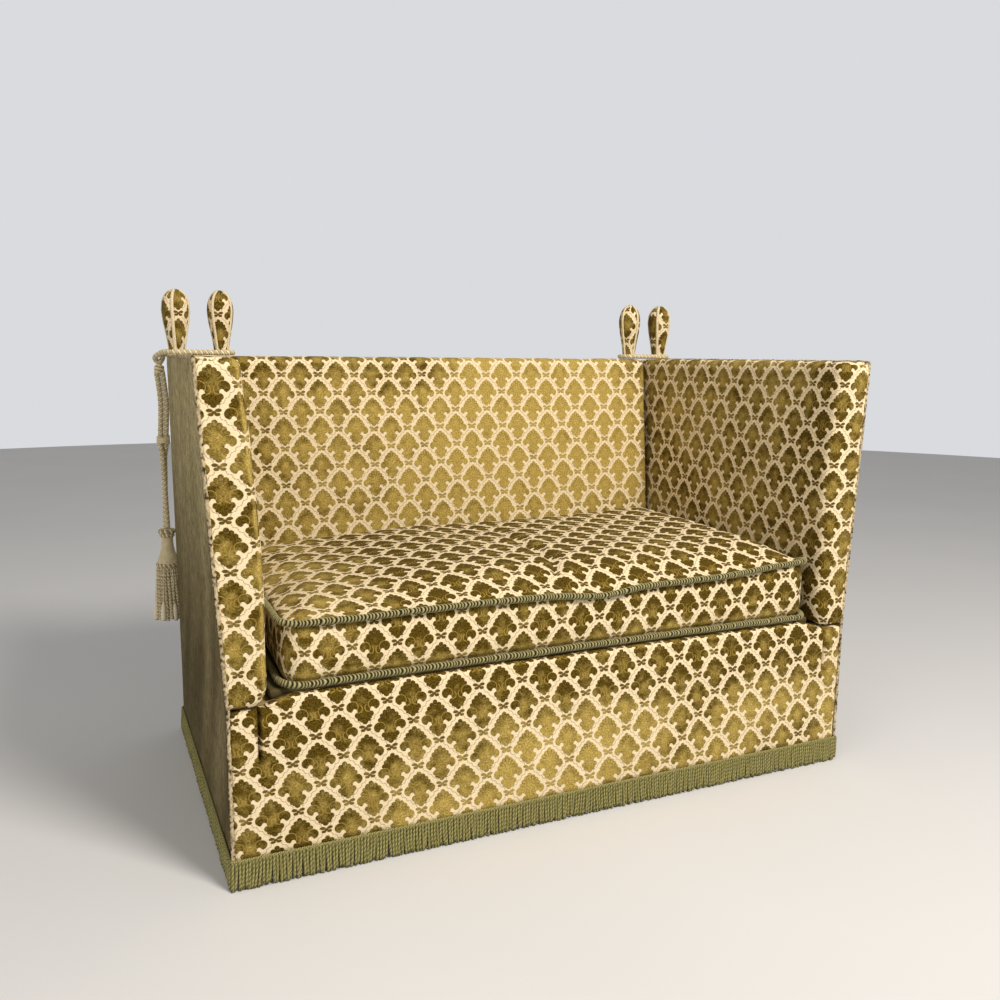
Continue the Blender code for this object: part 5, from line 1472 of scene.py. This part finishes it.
def make_ruched_cord(name, level, node):
    """Cloth gathered over a cord and sewn into the cushion's seam: close slanting folds, which are
    pulled out smooth round the front left corner."""
    rise = 1.0 if name == "top" else 0.0
    outline = [Vector((x - 0.004 * ramp(0.58, 0.65, x), y,
                       level + rise * seam_rise(x, y) + 0.0012 * ripple(x, y, 0, 0.10, level * 90)))
               for x, y in cushion_outline(0.005)]
    step = 0.00125
    points = even_points(outline + [outline[0]], step, True)

    def gathered(angle, distance):
        here = points[min(int(distance / step), len(points) - 1)]
        from_corner = math.hypot(here.x + CUSHION_HALF_WIDTH, here.y - CUSHION_FRONT - 0.02)
        smooth = 0.35 * ramp(0.07, 0.02, from_corner)
        wander = 0.34 * ripple(distance, 0, 0, 0.016, 40.0 + level)
        fold = abs(math.sin(math.pi * (distance / 0.0072 - 0.55 * math.cos(angle - 1.1) + wander)))
        hollow = (1 - fold) ** 0.9 * (1 - smooth)
        fat = 1.14 + 0.06 * ripple(distance, 0, 0, 0.05, 41.0)
        # Painted shade in the hollows between the folds.
        return CUSHION_CORD_RADIUS * (fat - 0.44 * hollow), min(1.0, 1.9 * hollow)

    cord = sweep(f"ruched_cord_{name}", points, gathered, 16, closed=True, lead=(0, 0, 1))
    finish(cord, "ruched_trim_cord", "cushion", [node])


# ---------------------------------------------------------------- fringe

def make_fringe(name, start, along, outward, length, seed):
    """Bullion fringe: one twisted strand, modelled once and repeated, below a narrow braid."""
    deselect()
    drop = FRINGE_HANG - FRINGE_LIFT
    bpy.ops.mesh.primitive_cylinder_add(vertices=6, radius=FRINGE_STRAND_RADIUS, depth=drop,
                                        location=(0, 0, -drop / 2), end_fill_type="NGON")
    strand = bpy.context.object
    strand.name = f"bullion_{name}"
    bpy.ops.object.transform_apply()
    bpy.ops.object.mode_set(mode="EDIT")
    slice_across(2, [-drop * i / 7 for i in range(1, 7)])
    bpy.ops.object.mode_set(mode="OBJECT")
    shade_and_tone = []
    for vertex in strand.data.vertices:
        x, y, z = vertex.co
        turn = math.atan2(y, x)
        ahead = turn - z / drop * 2 * math.pi * FRINGE_TURNS
        reach = math.hypot(x, y) * (0.90 + 0.22 * abs(math.cos(ahead)))
        vertex.co = (reach * math.cos(turn), reach * math.sin(turn), z)
        # Painted shade in the hollows of the twist, and under the heading at the top.
        shade_and_tone.append(0.35 * (1 - abs(math.cos(ahead))) + 0.15 * ramp(-0.010, 0.0, z))
    spots = [tuple(v.co) for v in strand.data.vertices]
    lay_weave(strand.data, lambda i: (math.atan2(spots[i][1], spots[i][0]) * 0.003, spots[i][2]))
    paint(strand, "shade_and_tone", shade_and_tone)
    each = len(strand.data.vertices)
    count = int(length / FRINGE_PITCH)
    row = strand.modifiers.new("Row", "ARRAY")
    row.use_relative_offset = False
    row.use_constant_offset = True
    row.constant_offset_displace = (length / count, 0, 0)
    row.count = count
    pick(strand)
    bpy.ops.object.modifier_apply(modifier=row.name)
    chance = random.Random(seed)
    lay = [(chance.uniform(-1, 1), chance.uniform(-1, 1), chance.random(), chance.uniform(0.90, 1.03))
           for _ in range(count)]
    start, along, outward = Vector(start), Vector(along), Vector(outward)
    step = length / count
    for number, vertex in enumerate(strand.data.vertices):
        tilt, lift, turn, long = lay[number // each]
        centre = (number // each) * step
        x, y, z = vertex.co
        cos, sin = math.cos(turn * 2 * math.pi), math.sin(turn * 2 * math.pi)
        lx = (x - centre) * cos - y * sin
        ly = (x - centre) * sin + y * cos
        share = -z / drop
        lx += 0.0022 * tilt * share * share + 0.003 * ripple(centre, 0, 0, 0.09, seed) * share * share
        ly += (0.0010 * lift + 0.0024) * share
        z = max(z * long, -drop)
        vertex.co = (start + along * (centre + step / 2 + lx) + outward * (0.0034 + ly)
                     + Vector((0, 0, FRINGE_HANG + z)))
    flip_outward(strand)
    bpy.ops.object.shade_smooth()
    return strand


def make_fringe_heading(name, corners):
    """The narrow ribbed braid that carries the strands, round all four sides in one."""
    points = even_points([Vector(c) for c in corners] + [Vector(corners[0])], 0.0011, True)

    def ribbed(angle, distance):
        tall, deep, rib_length = 0.0032, 0.0026, 0.0040
        reach = tall * deep / math.sqrt((tall * math.sin(angle)) ** 2 + (deep * math.cos(angle)) ** 2)
        rib = abs(math.sin(math.pi * distance / rib_length))
        # Painted shade between the ribs.
        return reach * (0.90 + 0.14 * rib), 0.7 * (1 - rib) ** 2

    return sweep(name, points, ribbed, 8, closed=True, lead=(0, 0, 1))


def make_all_fringe():
    x, y = SIDE + 0.0003, REAR + 0.0003
    for word, *run in (("front", (-x - 0.004, -y, 0), (1, 0, 0), (0, -1, 0), 2 * x + 0.008, 51),
                       ("rear", (x + 0.004, y, 0), (-1, 0, 0), (0, 1, 0), 2 * x + 0.008, 52),
                       ("left", (-x, y, 0), (0, -1, 0), (-1, 0, 0), 2 * y, 53),
                       ("right", (x, -y, 0), (0, 1, 0), (1, 0, 0), 2 * y, 54)):
        finish(make_fringe(word, *run), "bullion_fringe", "root", [f"fringe_{word}"])
    out = 0.0030
    level = FRINGE_TOP - 0.0022
    r = 0.004
    ring = []
    for sx, sy, start in CORNERS:
        centre = (sx * (x + out - r), sy * (y + out - r))
        ring += [(px, py, level) for px, py in arc(centre, r, start, start + 90, 4)]
    heading = make_fringe_heading("fringe_heading", ring)
    finish(heading, "bullion_fringe", "root")


# ---------------------------------------------------------------- tassels

def make_tassel(side):
    """A tassel: gimp collar, twilled neck, gimp ring, and a skirt of twisted cords with pale tufts."""
    word = side_name(side)
    cx, cy = side * TASSEL_X, TASSEL_Y
    tall = TASSEL_TOP - TASSEL_BOTTOM
    pieces = []

    profile = ((0.985, 0.0135), (0.955, 0.0185), (0.915, 0.0165), (0.87, 0.0140), (0.80, 0.0155),
               (0.735, 0.0190), (0.69, 0.0235), (0.64, 0.0275), (0.58, 0.0265), (0.10, 0.0290))
    spine = even_points([Vector((cx, cy, TASSEL_BOTTOM + tall * s)) for s, _ in profile], 0.0018, False)

    def core(angle, distance):
        share = profile[0][0] - distance / tall
        radius = profile[-1][1]
        for (high, one), (low, two) in zip(profile, profile[1:]):
            if low <= share <= high + 1e-6:
                radius = blend(two, one, (share - low) / (high - low))
        twill = abs(math.sin(10 * angle + distance / 0.0052 * math.pi))
        # Painted shade in the twill's hollows, and on the core below the ring, inside the skirt.
        return radius * (0.97 + 0.05 * twill), 0.02 + 0.75 * (1 - twill) ** 1.5 + (0.5 if share < 0.55 else 0)

    pieces.append(sweep(f"core_{word}", spine, core, 48))
    for name, radius, share, thick, pitch in (
            ("collar_top", 0.0158, 0.957, 0.0064, 0.0115), ("collar_low", 0.0150, 0.915, 0.0042, 0.0085),
            ("ring_top", 0.0262, 0.612, 0.0052, 0.0100), ("ring_low", 0.0268, 0.570, 0.0036, 0.0080)):
        points = [around(cx, cy, TASSEL_BOTTOM + tall * share, radius, 2 * math.pi * i / 72)
                  for i in range(72)]
        pieces.append(sweep(f"{name}_{word}", points, rope(thick, 2, pitch, 0.34, 0.60), 12, closed=True))
    chance = random.Random(60 + side)
    count = 22
    for i in range(count):
        turn = 2 * math.pi * i / count
        points = []
        for k in range(8):
            share = k / 7
            angle = turn + 0.16 * share
            reach = blend(0.0264, 0.0352, share ** 0.8) + 0.0005 * chance.uniform(-1, 1)
            z = TASSEL_BOTTOM + tall * blend(0.575, 0.030 + 0.025 * chance.random(), share)
            points.append(around(cx, cy, z, reach, angle))
        points = smooth_route(points, 0.0030)
        pieces.append(sweep(f"skirt_{word}_{i}", points, rope(0.0047, 2, 0.0080, 0.36, 0.42), 8))
    tassel = join_pieces(pieces, f"tassel_trim_{word}")
    finish(tassel, "tie_cord", f"tie_{word}", [f"tassel_{word}"])
    tufts = []
    skirt, tuft_length, thread_radius = tall * 0.575, 0.048, 0.0012
    for i in range(8):
        angle = 2 * math.pi * (i + 0.3) / 8
        low = TASSEL_BOTTOM + tall * blend(0.0, 0.05, chance.random())
        drop = []
        for k in range(26):
            z = blend(TASSEL_BOTTOM + skirt, low, k / 25)
            share = (TASSEL_BOTTOM + skirt - z) / skirt
            reach = blend(0.0300, 0.0390, share ** 0.8)
            # Those behind lie flat against the rear cover
            y = max(cy + reach * math.sin(angle), REAR + 0.0115)
            drop.append(Vector((cx + reach * math.cos(angle), y, z)))
        drop = even_points(drop, 0.0028, False)
        total = route_length(drop)

        # Painted shade in the turns of the thread and in the folds of the tuft.
        def tuft(angle_round, distance):
            left = total - distance
            if left > tuft_length:
                return thread_radius, 0.3 * abs(math.sin(distance * 900))
            down = min(1.0, (tuft_length - left) / tuft_length * 0.72)
            swell = thread_radius + 0.0062 * math.sin(math.pi * down) ** 0.5
            fold = abs(math.sin(3 * angle_round))
            return swell * (0.86 + 0.18 * fold), 0.22 * (1 - fold)

        tufts.append(sweep(f"tuft_{word}_{i}", drop, tuft, 12))
    finish(join_pieces(tufts, f"tassel_tufts_{word}"), "tuft_wool", f"tie_{word}")


# ---------------------------------------------------------------- what lies under the covers

def make_deck():
    """The padded deck under the cushion, in plain lining, painted dark as painted shade in the gap round the
    cushion.
    """
    deck = block("seat_deck_cover", (-DECK_HALF_WIDTH, FRONT + 0.031, 0.350),
                 (DECK_HALF_WIDTH, REAR - 0.046, DECK_TOP - DECK_GAP))
    round_edges(deck, 0.006, 3, lambda p, n: p.z > 0.36)
    slice_across(0, spaced(-DECK_HALF_WIDTH, DECK_HALF_WIDTH, 0.09))
    slice_across(1, spaced(FRONT, REAR, 0.09))
    soften(deck)
    fit_pad(deck, lambda x, y, z, normal: (x, y), lambda *where: where)
    finish(deck, "deck_lining_painted_shade", "root", ["seat_deck"])


NODE_MATERIALS = (
    ("oak_frame", ("rail_", "leg_", "back_post", "back_top_rail", "back_bottom_rail", "arm_bottom_rail",
                   "arm_top_rail", "arm_front_stile", "arm_rear_stile")),
    ("hinge_iron", ("hinge_",)), ("spring_steel", ("seat_spring_unit",)),
    ("jute_webbing", ("seat_webbing",)), ("hessian", ("spring_canvas", "back_webbing", "arm_webbing")),
    ("dust_cloth", ("dust_cover",)))


def dress_nodes():
    """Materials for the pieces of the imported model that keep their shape."""
    for material, beginnings in NODE_MATERIALS:
        for name, node in NODES.items():
            if name.startswith(beginnings):
                node.data.materials.clear()
                node.data.materials.append(MATERIALS[material])


# ---------------------------------------------------------------- the sofa

set_camera()
make_materials()
light_studio()
for side in (-1, 1):
    make_tie_loop(side)
make_front_border()
make_back_pad()
make_rear_cover()
for side in (-1, 1):
    make_arm_pad(side)
    make_outer_side(side)
    make_piping(side)
    word = side_name(side)
    make_finial(f"arm_{word}", f"arm_{word}", side * ARM_FINIAL_X, f"arm_finial_{word}")
    make_finial(f"back_{word}", "root", side * BACK_FINIAL_X, f"back_finial_{word}")
make_cushion()
make_ruched_cord("top", CUSHION_UPPER_CORD, "cushion_cord_top")
make_ruched_cord("bottom", CUSHION_LOWER_CORD, "cushion_cord_bottom")
make_all_fringe()
for side in (-1, 1):
    make_tassel(side)
    make_tie_tail(side)
make_deck()
dress_nodes()

bpy.context.scene.view_settings.view_transform = "Standard"
bpy.context.view_layer.update()
